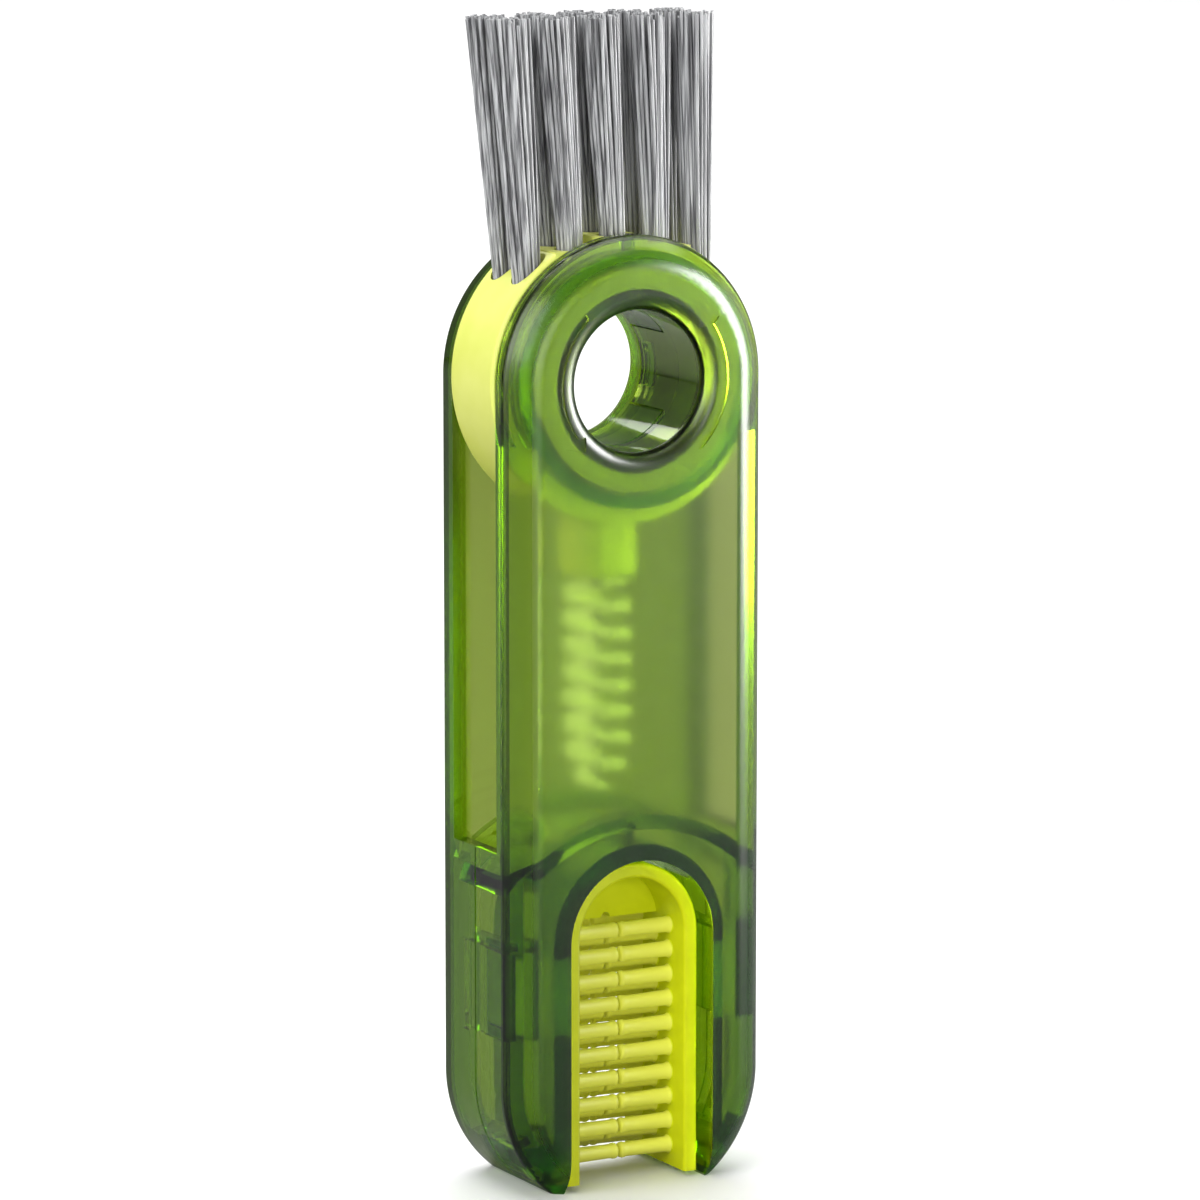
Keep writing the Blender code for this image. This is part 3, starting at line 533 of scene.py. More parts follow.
def shell_plastic():
    """Clear green moulded plastic: polished inside and on its edges, finely frosted on both faces, with a
    painted dark shade on its outer edge.
    """
    look = Finish("clear_green_plastic", ior=1.5, transmission_weight=1.0, specular_ior_level=0.24)
    depth = look.axes()[1]
    # Painted shade: past this level the outer edge is darkened in the base colour
    edge = look.mark("edge") * (abs(depth) > EDGE_SHADE_LEVEL)
    look.feed("Base Color", look.blend(edge, GREEN_SURFACE, GREEN_EDGE_SHADE))
    frost = look.mark("frost")
    cloud = look.noise(0.35)
    at_back = depth > 0.0
    look.feed("Roughness", 0.03 + frost * (0.24 + at_back * 0.36 + 0.06 * cloud))
    grain = look.noise(6.0, 2.0)
    look.bump(grain * frost, 0.16, 0.05 * MM)
    body = look.node("ShaderNodeVolumeAbsorption", {"Color": GREEN_BODY, "Density": GREEN_DENSITY})
    look.link(body, look.tree.nodes["Material Output"].inputs["Volume"])
    return look.material


def lime_plastic():
    """Opaque lime moulding with a soft satin skin; its boss, inside the shells, is painted a deeper olive
    as shade.
    """
    look = Finish("lime_plastic", ior=1.5, specular_ior_level=0.5)
    cloud = look.noise(0.12, 4.0)
    depth = look.axes()[1]
    skin = look.ramp(cloud, (0.3, LIME[0]), (0.7, LIME[1]))
    # Painted shade: the boss, past the rim's depth, is mostly olive
    boss = abs(depth) > RIM_DEPTH + 0.2
    look.feed("Base Color", look.blend(boss * 0.8, skin, BOSS_SHADE_OLIVE))
    look.feed("Roughness", 0.32 + 0.12 * look.noise(0.8))
    look.bump(look.noise(9.0, 2.0), 0.06, 0.05 * MM)
    return look.material


def lime_rubber():
    """Soft rubber of the slot lining; its rods, down in the slot, get painted light that makes them a shade
    lighter.
    """
    look = Finish("lime_rubber", ior=1.45, specular_ior_level=0.25)
    cloud = look.noise(0.25, 3.0)
    across, height = look.axes()[::2]
    # Painted light: the rods are a lighter copy of the same rubber
    rods = (abs(across) < LINER_INNER - 0.15) * (height < WEB_LOW)
    skin = look.ramp(cloud, (0.3, RUBBER[0]), (0.7, RUBBER[1]))
    look.feed("Base Color", look.blend(rods, skin, ROD_PAINTED_LIGHT))
    look.feed("Roughness", 0.42 + 0.1 * look.noise(1.2))
    look.bump(look.noise(6.0, 3.0), 0.08, 0.06 * MM)
    return look.material


def nylon(name, shades, streak, glow=0.0):
    """Filaments: fine streaks along their length, glossy; the white ones get a painted glow for the light
    that passes through them.
    """
    look = Finish(name, ior=1.53, emission_color=GLOW_COLOUR, emission_strength=glow)
    fine = look.noise(streak, 2.0, (1.0, 1.0, 0.02))
    look.feed("Base Color", look.ramp(fine, (0.35, shades[0]), (0.65, shades[1])))
    look.feed("Roughness", 0.28 + 0.15 * look.noise(1.0))
    return look.material


def metal(name, colour, roughness):
    """Drawn wire and stamped sheet: fine cloudy wear over a bright metal."""
    look = Finish(name, metallic=1.0, base_color=colour)
    look.feed("Roughness", roughness + 0.15 * look.noise(3.0))
    look.bump(look.noise(12.0, 2.0), 0.05, 0.03 * MM)
    return look.material


def arch_gap(side):
    """The open bay between the panels: everything over the arch, out through both sides."""
    near, far = -side * WALL, side * PANEL_INNER
    upper = bar("bay", (-BODY_HALF - 5, near, SIDE_WALL_TOP), (BODY_HALF + 5, far, HUB + BEYOND))
    lower = bar("bay_low", (-SIDE_INNER, near, ARCH_CENTRE), (SIDE_INNER, far, SIDE_WALL_TOP + 1))
    combine(lower, disc("arch", ARCH_OUTER, -PANEL_INNER * 2, PANEL_INNER * 2, z=ARCH_CENTRE))
    return join_to(upper, lower)


def recess(side):
    """The long recess inside a panel, between the hub ring and the arch."""
    near, far = side * (PANEL_INNER - 0.2), side * CEILING
    hollow = bar("recess", (-RECESS_HALF, near, ARCH_CENTRE), (RECESS_HALF, far, RECESS_TOP))
    for vert in hollow.data.vertices:
        if abs(vert.co.y) < PANEL_INNER:
            vert.co.x *= RECESS_MOUTH / RECESS_HALF
    combine(hollow, disc("ring", RING_OUTER, -FACE, FACE))
    return combine(hollow, disc("arch", ARCH_OUTER + SHY, -FACE, FACE, z=ARCH_CENTRE))


def rim_recess(side):
    """The groove behind the crowned edge round the hub, so that the wall is thin there too."""
    inner, shallow = RING_OUTER - SHY, side * (PANEL_INNER - CLEARANCE)
    profile = [(inner, shallow), (inner, side * GROOVE_ROOF),
               (RIM_GROOVE, side * (GROOVE_ROOF - GROOVE_SLOPE)), (RIM_GROOVE, shallow)]
    return turned("rim_recess", profile, (0, 0, HUB))


def chamber(side, inset, near, far, shy=0.0):
    """The closed chamber round the slot, inside the side walls and under the arch."""
    hollow = handle_form("chamber", inset, side * near, side * far)
    slice_off(hollow, (0, 0, CHAMBER_FLOOR + shy), (0, 0, -1))
    dome = capsule("dome", ARCH_INNER - shy, ARCH_CENTRE, DOME_LOW, -FACE * 2, FACE * 2)
    combine(hollow, dome, "INTERSECT")
    wall = capsule("slot_wall", SLOT_HALF + SLOT_WALL + shy, SLOT_CROWN, SLOT_LOW, -FACE * 2, FACE * 2)
    return combine(hollow, wall)


def sector(name, middle, half_angle, radius, near, far):
    """A slice of a disc, cut out by two planes through the hub axis; angles in degrees."""
    piece = disc(name, radius, near, far)
    for turn in (middle + half_angle, middle - half_angle):
        sign = 1 if turn > middle else -1
        angle = math.radians(turn)
        normal = (-sign * math.sin(angle), 0, sign * math.cos(angle))
        slice_off(piece, (0, 0, HUB), normal)
    return piece


def radial_bar(name, angle, inner, outer, near, far, width):
    """A bar that stands out from the hub axis at an angle in degrees."""
    piece = bar(name, (inner, near, HUB - width / 2), (outer, far, HUB + width / 2))
    editing(piece)
    bpy.ops.mesh.select_all(action="SELECT")
    bpy.ops.transform.rotate(value=math.radians(angle), orient_axis="Y", center_override=(0, 0, HUB))
    done()
    return piece


def front_tube():
    """The front half of the hub: a ring that ends in two snap fingers with hooks."""
    tube = disc("front_tube", FINGER_OUTER, -CEILING - WALL / 2, FINGER_END)
    hook_end = FINGER_END - CLEARANCE
    for middle in (0, 180):
        join_to(tube, radial_bar("hook", middle, BORE, FINGER_OUTER + HOOK_RISE, hook_end - HOOK_LENGTH,
                                 hook_end, HOOK_WIDTH))
    for middle in (90, -90):
        gap = sector("gap", middle, 90 - FINGER_ANGLE, TUBE_OUTER, RING_END, CEILING)
        combine(tube, gap)
    return tube


def back_tube():
    """The back half of the hub: a tube notched for the fingers, with hook and drain windows."""
    tube = disc("back_tube", TUBE_OUTER, -BOSS_DEPTH, CEILING + WALL / 2)
    combine(tube, disc("seat", TUBE_INNER, -CEILING, RING_END + CLEARANCE))
    past = TUBE_OUTER + 2
    for middle in (0, 180):
        combine(tube, sector("notch", middle, FINGER_ANGLE + FINGER_PLAY, TUBE_INNER + 0.15, RING_END,
                             FINGER_END + CLEARANCE))
        combine(tube, radial_bar("window", middle, BORE, past, FINGER_END - WINDOW_LENGTH, FINGER_END,
                                 WINDOW_WIDTH))
    return combine(tube, radial_bar("drain", 90, BORE / 2, past, DRAIN_NEAR, DRAIN_FAR, DRAIN_WIDTH))


def bore_tool(side):
    """The bore with its flare: what is left of the face round it is a smooth rounded lip."""
    profile = [(0, -side * FACE * 2), (BORE, -side * FACE * 2)]
    for step in range(LIP_STEPS + 1):
        angle = math.pi / 2 * step / LIP_STEPS
        flare, drop = 1 - math.cos(angle), 1 - math.sin(angle)
        profile.append((BORE + LIP_ROUND * flare, side * (FACE - LIP_ROUND * drop)))
    profile += [(BORE + LIP_ROUND, side * (FACE + 1)), (0, side * (FACE + 1))]
    return turned("bore", profile, (0, 0, HUB))


def cover(side):
    """The outside of one shell: a thin flange edge and a face that is softly crowned all round."""
    flange = FLANGE[side]
    piece = handle_form("cover", 0, side * PARTING, side * flange)
    editing(piece)
    pick(piece, "faces", lambda co, normal: co.y * side > flange - 0.1 and normal.y * side > 0.9)
    for step in range(CROWN_STEPS):
        rise = [1 - (1 - turn / CROWN_STEPS) ** 2 for turn in (step, step + 1)]
        bpy.ops.mesh.inset(thickness=CROWN / CROWN_STEPS)
        bpy.ops.transform.translate(value=(0, side * (FACE - flange) * (rise[1] - rise[0]), 0))
    pick(piece, "edges", lambda a, b: max(abs(a.y * side - flange), abs(b.y * side - flange)) < 0.01)
    bpy.ops.mesh.bevel(offset=FLANGE_ROUND, segments=ROUND, affect="EDGES")
    done()
    slice_off(piece, (0, 0, 0), (0, 0, -1))
    return combine(piece, capsule("slot", SLOT_HALF, SLOT_CROWN, SLOT_LOW, -FACE * 2, FACE * 2))


def tongue(hand):
    """A snap tongue of the front shell, with its root and its hook."""
    outer, low, high = SIDE_INNER - CLEARANCE, TONGUE_LOW, TONGUE_HIGH
    piece = bar("tongue", (hand * (outer - TONGUE_WALL), TONGUE_FOOT, low),
                (hand * outer, TONGUE_END, high))
    join_to(piece, bar("root", (hand * (outer - CLEARANCE), TONGUE_FOOT, low),
                       (hand * (SIDE_INNER + CLEARANCE), TONGUE_ROOT, high)))
    return join_to(piece, bar("hook", (hand * (outer - CLEARANCE), TONGUE_END - HOOK_LENGTH, low),
                              (hand * (outer + TONGUE_HOOK), TONGUE_END, high)))


def add_ribs(piece):
    """Alignment ribs inside the chamber of the front shell that lap over the parting line."""
    lower = SIDE_INNER - END_SHIFT
    dip = math.asin((LOWER_RIB - END_CENTRE) / lower)
    lower_x = END_SHIFT + lower * math.cos(dip)
    places = [(0, ARCH_CENTRE + ARCH_INNER, math.pi / 2)]
    for hand, flip in ((1, 0), (-1, math.pi)):
        places.append((hand * SIDE_INNER, SIDE_RIB, flip))
        places.append((hand * lower_x, LOWER_RIB, dip if hand > 0 else math.pi - dip))
    for x, z, angle in places:
        for tail, root, outer, end, half in RIB_STEPS:
            rib = bar("rib", (tail, root, -half), (outer, end, half))
            rib.data.transform(Matrix.Translation((x, 0, z)) @ Matrix.Rotation(-angle, 4, "Y"))
            join_to(piece, rib)


def arrow(turn):
    """A turning arrow on the front face, swept round the hub from tail to head; turn in degrees."""
    def at(radius, degrees):
        angle = math.radians(degrees + turn)
        return radius * math.cos(angle), HUB + radius * math.sin(angle)
    outer = [at(ARROW + ARROW_HALF, degrees) for degrees in range(ARROW_TAIL + 2, ARROW_NECK - 1, 2)]
    head = [at(ARROW + out, degrees) for out, degrees in ARROW_HEAD]
    inner = [at(ARROW - ARROW_HALF, degrees) for degrees in range(ARROW_NECK, ARROW_TAIL, -2)]
    tail = [at(ARROW - 0.3, ARROW_TAIL), at(ARROW + 0.3, ARROW_TAIL)]
    return plate("arrow", outer + head + inner + tail, -FACE - 1, -FACE + ARROW_DEPTH)


def mark_frost(piece, side):
    """Marks the faces of a shell that are frosted, and those of its outer edge, which get a painted dark
    shade.
    """
    frost = piece.data.attributes.new("frost", "FLOAT", "FACE")
    edge = piece.data.attributes.new("edge", "FLOAT", "FACE")
    for face in piece.data.polygons:
        x, y, z = face.center
        away = math.hypot(x, z - min(max(z, END_CENTRE), HUB))
        # These faces get the painted dark shade of the outer edge
        if away > BODY_HALF - 0.6 and abs(face.normal.y) < 0.8:
            edge.data[face.index].value = 1.0
        lip = math.hypot(x, z - HUB) < BORE + LIP_ROUND + 0.1 and y * side > FACE - LIP_ROUND
        if lip or y * side > FACE - FROST_REACH:
            frost.data[face.index].value = 1.0
        elif y * side > FLANGE[side] + 0.05 and face.normal.y * side > 0.3:
            frost.data[face.index].value = CROWN_FROST


def tongue_pocket(hand):
    """The space that a tongue's hook snaps into, in the back shell's side wall."""
    low = (hand * (SIDE_INNER - CLEARANCE), TONGUE_END - HOOK_LENGTH - CLEARANCE, TONGUE_LOW - CLEARANCE)
    high = (hand * (SIDE_INNER + TONGUE_HOOK), TONGUE_END + CLEARANCE, TONGUE_HIGH + CLEARANCE)
    return bar("tongue_pocket", low, high)


def shell(side):
    """A whole shell of the handle."""
    piece = cover(side)
    combine(piece, arch_gap(side))
    combine(piece, recess(side))
    combine(piece, rim_recess(side))
    combine(piece, disc("pocket", POCKET, side * (PANEL_INNER - WALL / 2), side * CEILING))
    combine(piece, chamber(side, BODY_HALF - SIDE_INNER, -WALL, PANEL_INNER))
    combine(piece, chamber(side, BODY_HALF - RECESS_HALF, PANEL_INNER - WALL / 2, CEILING, SHY))
    for hand in (-1, 1):
        combine(piece, bar("lug_window", (hand * (SLOT_HALF - 2), -side * WALL, WINDOW_LOW),
                           (hand * (SLOT_HALF + SLOT_WALL + 0.5), side * WINDOW_DEPTH / 2, WINDOW_HIGH)))
    join_to(piece, front_tube() if side < 0 else back_tube())
    combine(piece, bore_tool(side))
    pip = disc("pip", PIP, side * (PANEL_INNER + PIP), side * (PANEL_INNER - PIP_HEIGHT),
               z=HUB + PIP_CIRCLE, sides=SMALL_ROUND)
    soften(pip, 0.13, 2)
    join_to(piece, pip)
    for hand in (-1, 1):
        if side < 0:
            join_to(piece, tongue(hand))
            combine(piece, disc("socket", SOCKET, WALL, -PEG_END - CLEARANCE, hand * PEG_X, PEG_Z,
                                SMALL_ROUND))
        else:
            combine(piece, tongue_pocket(hand))
            peg = disc("peg", PEG, PEG_END, -PEG_END, hand * PEG_X, PEG_Z, SMALL_ROUND)
            soften(peg, 0.3, 2)
            join_to(piece, peg)
    if side < 0:
        add_ribs(piece)
        for turn in (0, 180):
            combine(piece, arrow(turn))
    # Cut to triangles, since the many-sided faces left by the cutting would shade unevenly
    editing(piece)
    bpy.ops.mesh.select_all(action="SELECT")
    bpy.ops.mesh.quads_convert_to_tris(quad_method="BEAUTY", ngon_method="BEAUTY")
    done()
    mark_frost(piece, side)
    return piece


def make_shells():
    """Both shells, in the same plastic."""
    material = shell_plastic()
    for side, name in ((-1, "front"), (1, "back")):
        piece = shell(side)
        piece.name = f"{name}_cover"
        smooth(piece)
        settle(piece, material, "handle", f"{name}_shell")


def make_carrier():
    """The rotor: rim, boss and bore, the stepped lands under the tufts and the arm below."""
    half = [(ROTOR_BORE, BOSS_DEPTH), (BOSS - 0.45, BOSS_DEPTH), (BOSS - 0.17, BOSS_DEPTH - 0.06),
            (BOSS, BOSS_DEPTH - 0.4), (BOSS, RIM_DEPTH), (RIM - 0.6, RIM_DEPTH),
            (RIM - 0.3, RIM_DEPTH - 0.07), (RIM - 0.08, RIM_DEPTH - 0.28), (RIM, RIM_DEPTH - 0.6)]
    profile = half + [(radius, -reach) for radius, reach in reversed(half)] + half[:1]
    piece = turned("carrier", profile, (0, 0, HUB))
    foot = HUB + BOSS - 1.8
    reach, above = RIM_DEPTH - SHY, HUB + BEYOND
    side_land, middle_land, arm_end = HUB + LAND_SIDE, HUB + LAND_MIDDLE, HUB - ARM_REACH
    join_to(piece, bar("lands", (-LAND_SIDE_HALF, -reach, foot), (LAND_SIDE_HALF, reach, side_land + 1)))
    for hand in (-1, 1):
        combine(piece, bar("side", (hand * LAND_MIDDLE_HALF, -RIM, side_land), (hand * RIM, RIM, above)))
    combine(piece, bar("middle", (-RIM, -RIM, middle_land), (RIM, RIM, above)))
    arm = bar("arm", (ARM_X - ARM_HALF, -ARM_HALF, arm_end), (ARM_X + ARM_HALF, ARM_HALF, HUB - BOSS + 1.0))
    editing(arm)
    pick(arm, "edges", lambda a, b: abs(a.z - b.z) > 1)
    bpy.ops.mesh.bevel(offset=ARM_ROUND, segments=8, affect="EDGES")
    pick(arm, "edges", lambda a, b: max(a.z, b.z) < arm_end + 0.01)
    bpy.ops.mesh.bevel(offset=ARM_END_ROUND, segments=4, affect="EDGES")
    done()
    join_to(piece, arm)
    for x, y, level in tuft_places():
        combine(piece, upright("tuft_hole", x, y, level - HOLE_DEPTH, above, TUFT_RADIUS + HOLE_PLAY))
    combine(piece, upright("stem_hole", ARM_X, 0, arm_end - 2, arm_end + 6, STEM_HOLE))
    for side in (-1, 1):
        for turn in (0, 180, 270):
            # A little off the quarter, so that no corner falls on a seam of the turned body
            angle = math.radians(turn + 0.4)
            combine(piece, disc("dimple", DIMPLE, side * (RIM_DEPTH - DIMPLE_DEPTH),
                                side * (RIM_DEPTH + DIMPLE_DEPTH), PIP_CIRCLE * math.cos(angle),
                                HUB + PIP_CIRCLE * math.sin(angle), SMALL_ROUND))
    piece.name = "carrier"
    smooth(piece)
    settle(piece, lime_plastic(), "rotor", "brush_carrier")


def turned(name, profile, middle, along="Y", steps=FINE):
    """A closed profile of radius and reach pairs, spun round an axis along X or Y through a point."""
    axis = Vector((1, 0, 0)) if along == "X" else Vector((0, 1, 0))
    out = Vector((0, 0, 1))
    mesh = bpy.data.meshes.new(name)
    points = [Vector(middle) + axis * reach + out * radius for radius, reach in profile]
    mesh.from_pydata(points, [(i, i + 1) for i in range(len(points) - 1)], [])
    piece = bpy.data.objects.new(name, mesh)
    bpy.context.scene.collection.objects.link(piece)
    editing(piece)
    bpy.ops.mesh.select_all(action="SELECT")
    bpy.ops.mesh.spin(steps=steps, angle=2 * math.pi, center=middle, axis=axis)
    bpy.ops.mesh.select_all(action="SELECT")
    bpy.ops.mesh.remove_doubles(threshold=0.0005)
    bpy.ops.mesh.normals_make_consistent(inside=False)
    done()
    return piece


def filament(sides, levels):
    """One straight filament of unit length and radius along Z, cut into levels so it can bend."""
    deselect()
    bpy.ops.mesh.primitive_cylinder_add(vertices=sides, radius=1, depth=1, location=(0, 0, 0.5))
    piece = added("filament")
    editing(piece)
    for level in range(1, levels):
        bpy.ops.mesh.select_all(action="SELECT")
        bpy.ops.mesh.bisect(plane_co=(0, 0, level / levels), plane_no=(0, 0, 1))
    done()
    return piece


def sheaf(name, pattern, courses):
    """Copies of one filament, each laid from a foot to a tip with a bow and a taper."""
    bm = bmesh.new()
    for foot, tip, bow, thick, thin, turn in courses:
        start = len(bm.verts)
        bm.from_mesh(pattern.data)
        bm.verts.ensure_lookup_table()
        axis = tip - foot
        side = (Matrix.Rotation(turn, 3, axis) @ axis.orthogonal()).normalized()
        across = axis.cross(side).normalized()
        for vert in bm.verts[start:]:
            u, v, t = vert.co
            width = thick + (thin - thick) * t
            vert.co = foot + axis * t + bow * (4 * t * (1 - t)) + (side * u + across * v) * width
    mesh = bpy.data.meshes.new(name)
    bm.to_mesh(mesh)
    bm.free()
    piece = bpy.data.objects.new(name, mesh)
    bpy.context.scene.collection.objects.link(piece)
    return piece


def tuft_places():
    """Centre and foot level of each tuft, front row first, each row from left to right."""
    levels = (LAND_MIDDLE, LAND_SIDE, OUTER_LEVEL)
    return [(step * TUFT_PITCH, row * TUFT_ROW, HUB + levels[abs(step)])
            for row in (-1, 1) for step in range(-2, 3)]


def make_tufts():
    """Ten tufts of grey filaments that spread, lean and end unevenly."""
    material = nylon("grey_nylon", GREY_NYLON, 2.2)
    pattern = filament(8, 4)
    dice = random.Random(7)
    golden = math.pi * (3 - math.sqrt(5))
    top = HUB + TUFT_REACH
    for number, (x, y, level) in enumerate(tuft_places(), start=1):
        courses = []
        for k in range(TUFT_STRANDS):
            away = (TUFT_RADIUS - STRAND) * math.sqrt((k + 0.5) / TUFT_STRANDS)
            angle = golden * k + number
            u, v = away * math.cos(angle), away * math.sin(angle)
            foot = Vector((x + u * TUFT_FOOT, y + v * TUFT_FOOT, level - PLUG))
            tip = Vector((x * TUFT_FAN + TUFT_LEAN + u * TUFT_SPREAD + dice.gauss(0, TUFT_RAGGED),
                          y + v * TUFT_SPREAD + dice.gauss(0, TUFT_RAGGED),
                          top - abs(dice.gauss(0, TUFT_SHORT))))
            bow = Vector((dice.gauss(0, TUFT_BOW), dice.gauss(0, TUFT_BOW), 0))
            courses.append((foot, tip, bow, STRAND, STRAND * STRAND_FLARE, dice.uniform(0, ANY_TURN)))
        piece = sheaf(f"bristle_tuft_{number:02d}", pattern, courses)
        smooth(piece, 50)
        settle(piece, material, "rotor", f"tuft_{number:02d}")
    bpy.data.objects.remove(pattern, do_unlink=True)


def make_narrow_brush():
    """White filaments caught in a twisted wire: one dense spiral row with a rounded end."""
    pattern = filament(4, 2)
    dice = random.Random(11)
    turns = NARROW_LENGTH / NARROW_PITCH
    courses = []
    for k in range(NARROW_STRANDS):
        turn = (k + 0.5) / NARROW_STRANDS * turns
        angle = 2 * math.pi * turn + dice.gauss(0, NARROW_TURN)
        level = HUB - NARROW_TOP - NARROW_PITCH * turn
        rounding = math.sqrt(min(1.0, 0.3 + 0.5 * (turns - turn)))
        reach = NARROW_RADIUS * rounding * dice.uniform(NARROW_SHORT, 1.0)
        out = Vector((math.cos(angle), math.sin(angle), 0))
        middle = Vector((ARM_X, 0, level))
        tip = middle + out * reach + Vector((0, 0, dice.gauss(0, NARROW_ROW)))
        tip.z = min(max(tip.z, HUB - NARROW_TOP - NARROW_LENGTH), HUB - NARROW_TOP)
        bow = Vector((0, 0, dice.gauss(0, NARROW_BOW)))
        root = middle + out * NARROW_ROOT
        courses.append((root, tip, bow, NARROW_STRAND, NARROW_TIP, dice.uniform(0, ANY_TURN)))
    piece = sheaf("narrow_bristles", pattern, courses)
    smooth(piece, 60)
    # The white filaments get a painted glow
    white = nylon("white_nylon", WHITE_NYLON, 3.0, WHITE_GLOW)
    settle(piece, white, "rotor", "narrow_brush_bristles")
    bpy.data.objects.remove(pattern, do_unlink=True)


def make_stem():
    """Two steel wires twisted round each other, from deep in the arm to the last bristle."""
    high = HUB - ARM_REACH + WIRE_GRIP
    low = HUB - NARROW_TOP - NARROW_LENGTH + 0.3
    wires = []
    for hand in (-1, 1):
        deselect()
        bpy.ops.mesh.primitive_cylinder_add(vertices=WIRE_SIDES, radius=WIRE, depth=high - low,
                                            location=(hand * WIRE, 0, (high + low) / 2))
        wire = added("wire")
        editing(wire)
        pick(wire, "edges", lambda a, b: abs(a.z - b.z) > 1)
        bpy.ops.mesh.subdivide(number_cuts=WIRE_CUTS)
        done()
        for vert in wire.data.vertices:
            turn = Matrix.Rotation(2 * math.pi * (high - vert.co.z) / WIRE_TWIST, 3, "Z")
            vert.co = turn @ vert.co + Vector((ARM_X, 0, 0))
        wires.append(wire)
    deselect()
    for wire in wires:
        wire.select_set(True)
    bpy.context.view_layer.objects.active = wires[0]
    bpy.ops.object.join()
    piece = bpy.context.view_layer.objects.active
    piece.name = "wire_stem"
    smooth(piece)
    settle(piece, metal("steel_wire", STEEL, 0.22), "rotor", "narrow_brush_stem")


def make_rod():
    """One rubber rod along X: flared at the wall, with a rounded collar at its free end."""
    return turned("rod", ROD_PROFILE, (0, 0, 0), "X", ROD_SIDES)


def make_liner():
    """The rubber lining of the slot, with its lugs, web and rods."""
    piece = capsule("liner", LINER_OUTER, SLOT_CROWN, LINER_LOW, -LINER_HALF, LINER_HALF)
    combine(piece, capsule("inside", LINER_INNER, SLOT_CROWN, LINER_LOW, -LINER_HALF - 1, LINER_HALF + 1))
    slice_off(piece, (0, 0, LINER_FOOT), (0, 0, -1))
    editing(piece)
    pick(piece, "edges", lambda a, b: min(abs(a.y), abs(b.y)) > LINER_HALF - 0.01
         and (a.y > 0) == (b.y > 0) and max(a.z, b.z) > LINER_FOOT + 0.01)
    bpy.ops.mesh.bevel(offset=LINER_ROUND, segments=ROUND, affect="EDGES")
    done()
    lug_half = WINDOW_DEPTH / 2 - CLEARANCE
    for hand in (-1, 1):
        lug = bar("lug", (hand * (LINER_OUTER - 1), -lug_half, WINDOW_LOW + CLEARANCE),
                  (hand * LUG_REACH, lug_half, WINDOW_HIGH - CLEARANCE))
        soften(lug, 0.3)
        join_to(piece, lug)
    web = disc("web", LINER_INNER + 1, -WEB_HALF, WEB_HALF, z=SLOT_CROWN)
    slice_off(web, (0, 0, WEB_LOW), (0, 0, -1))
    combine(web, disc("notch", WEB_NOTCH, -2, 2, z=WEB_LOW, sides=SMALL_ROUND))
    join_to(piece, web)
    rod = make_rod()
    rods = []
    for layer in (-1, 0, 1):
        for row in range(ROD_ROWS if layer else ROD_ROWS - 1):
            height = SLOT_CROWN - (0 if layer else ROD_PITCH / 2) - ROD_PITCH * row
            for hand in (-1, 1):
                copy = bpy.data.objects.new("rod", rod.data.copy())
                bpy.context.scene.collection.objects.link(copy)
                turn = Matrix.Rotation(0 if hand > 0 else math.pi, 4, "Z")
                fuller = 1.0 if layer < 0 else ROD_FULLER
                swell = Matrix.Diagonal((1.0, fuller, fuller, 1.0))
                copy.data.transform(Matrix.Translation((0, layer * ROD_SPACING, height)) @ turn @ swell)
                rods.append(copy)
    bpy.data.objects.remove(rod, do_unlink=True)
    smooth(piece, 30)
    for copy in rods:
        copy.data.shade_smooth()
    deselect()
    for part in [piece] + rods:
        part.select_set(True)
    bpy.context.view_layer.objects.active = piece
    bpy.ops.object.join()
    piece.name = "slot_lining"
    settle(piece, lime_rubber(), "handle", "rim_brush")


def finish_anchors():
    """Brass for the anchors under the tufts."""
    brass = metal("brass_anchor", BRASS, 0.25)
    for number in range(1, 11):
        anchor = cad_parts[f"tuft_anchor_{number:02d}"]
        for place in range(len(anchor.material_slots)):
            anchor.material_slots[place].material = brass


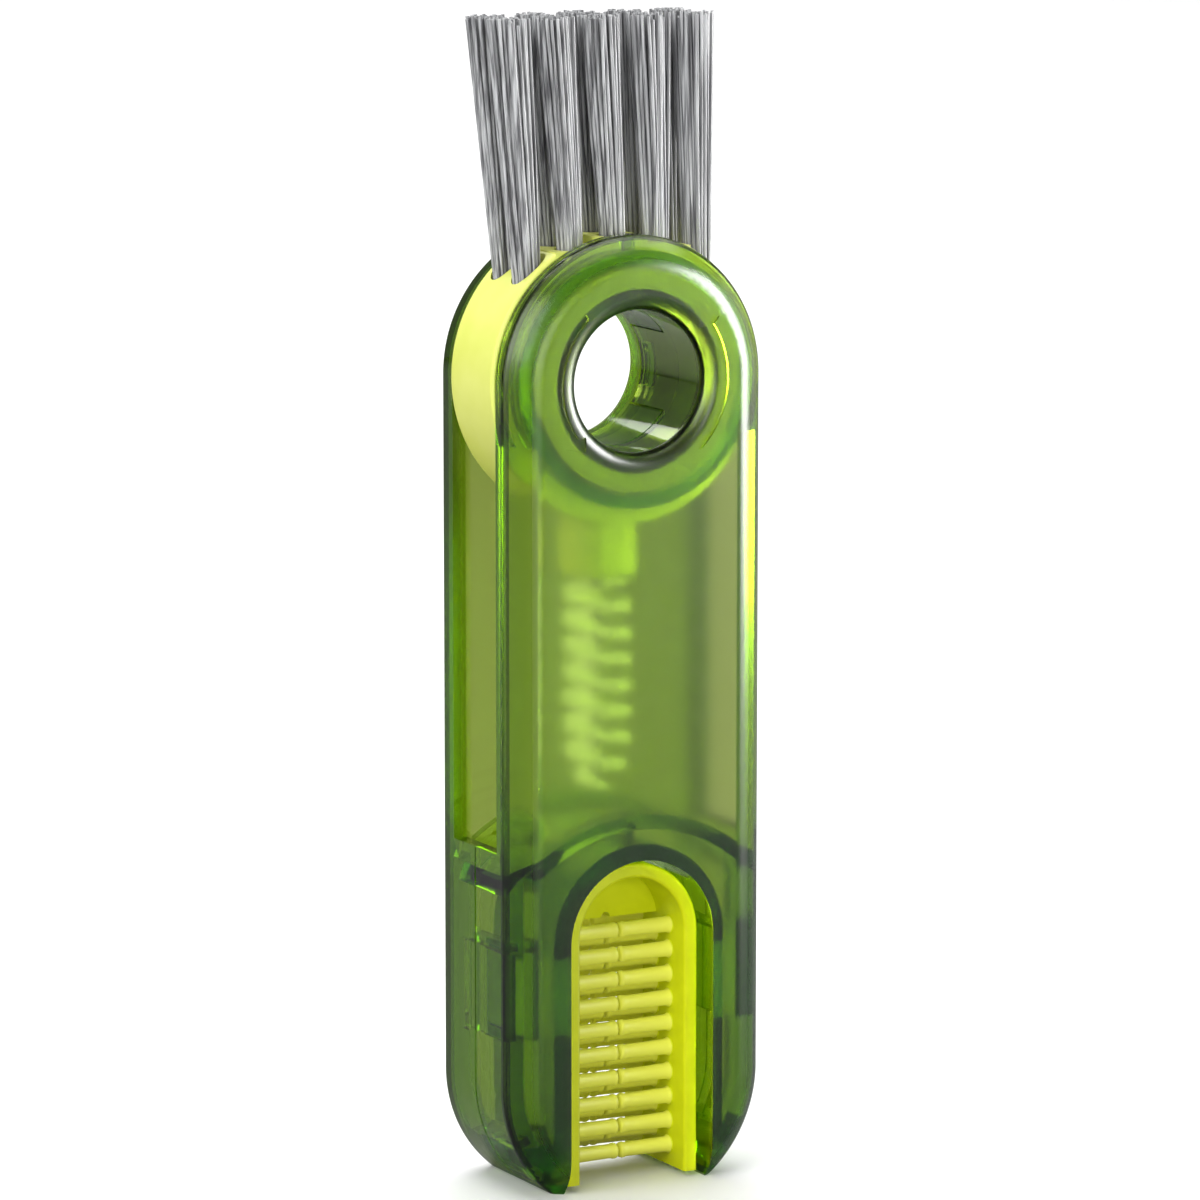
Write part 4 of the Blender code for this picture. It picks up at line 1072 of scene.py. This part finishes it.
def make_stage():
    """A wide pale floor and soft studio light."""
    deselect()
    bpy.ops.mesh.primitive_plane_add(size=14, location=(0, 0, 0))
    floor = added("floor")
    look = Finish("pale_floor", base_color=FLOOR_SEEN, roughness=0.6)
    seen = look.node("ShaderNodeLightPath", output="Is Camera Ray")
    bounce = look.node("ShaderNodeBsdfDiffuse", {"Color": FLOOR_BOUNCE}, output="BSDF")
    shown = Value(look, look.shader.outputs["BSDF"])
    both = look.node("ShaderNodeMixShader", [seen, bounce, shown], output="Shader")
    look.link(both, look.tree.nodes["Material Output"].inputs["Surface"])
    floor.data.materials.append(look.material)
    world = bpy.data.worlds.new("studio")
    bpy.context.scene.world = world
    world.use_nodes = True
    world.node_tree.nodes["Background"].inputs["Color"].default_value = (1.0, 1.0, 1.0, 1.0)
    world.node_tree.nodes["Background"].inputs["Strength"].default_value = ROOM_LIGHT
    for name, place, aim, size, power in STUDIO:
        lamp = bpy.data.lights.new(name, "AREA")
        lamp.shape = "RECTANGLE"
        lamp.size, lamp.size_y = size
        lamp.energy = power
        light = bpy.data.objects.new(name, lamp)
        light.location = place
        light.rotation_euler = (Vector(aim) - light.location).to_track_quat("-Z", "Y").to_euler()
        light.visible_diffuse = name != "gloss_card"
        bpy.context.scene.collection.objects.link(light)
    bpy.context.scene.view_settings.view_transform = "Standard"


def make_camera():
    """The photograph's viewing angle."""
    turn, rise = math.radians(CAMERA_TURN), math.radians(CAMERA_RISE)
    aim = Vector(CAMERA_AIM)
    back = Vector((math.sin(turn) * math.cos(rise), -math.cos(turn) * math.cos(rise), math.sin(rise)))
    lens = bpy.data.cameras.new("camera")
    lens.sensor_width = 36.0
    lens.lens = FOCAL_PIXELS / FRAME_PIXELS * lens.sensor_width
    camera = bpy.data.objects.new("camera", lens)
    camera.location = aim + back * CAMERA_AWAY
    camera.rotation_euler = (-back).to_track_quat("-Z", "Y").to_euler()
    bpy.context.scene.collection.objects.link(camera)
    bpy.context.scene.camera = camera


make_stage()
make_camera()
make_shells()
make_carrier()
make_tufts()
make_stem()
make_narrow_brush()
make_liner()
finish_anchors()
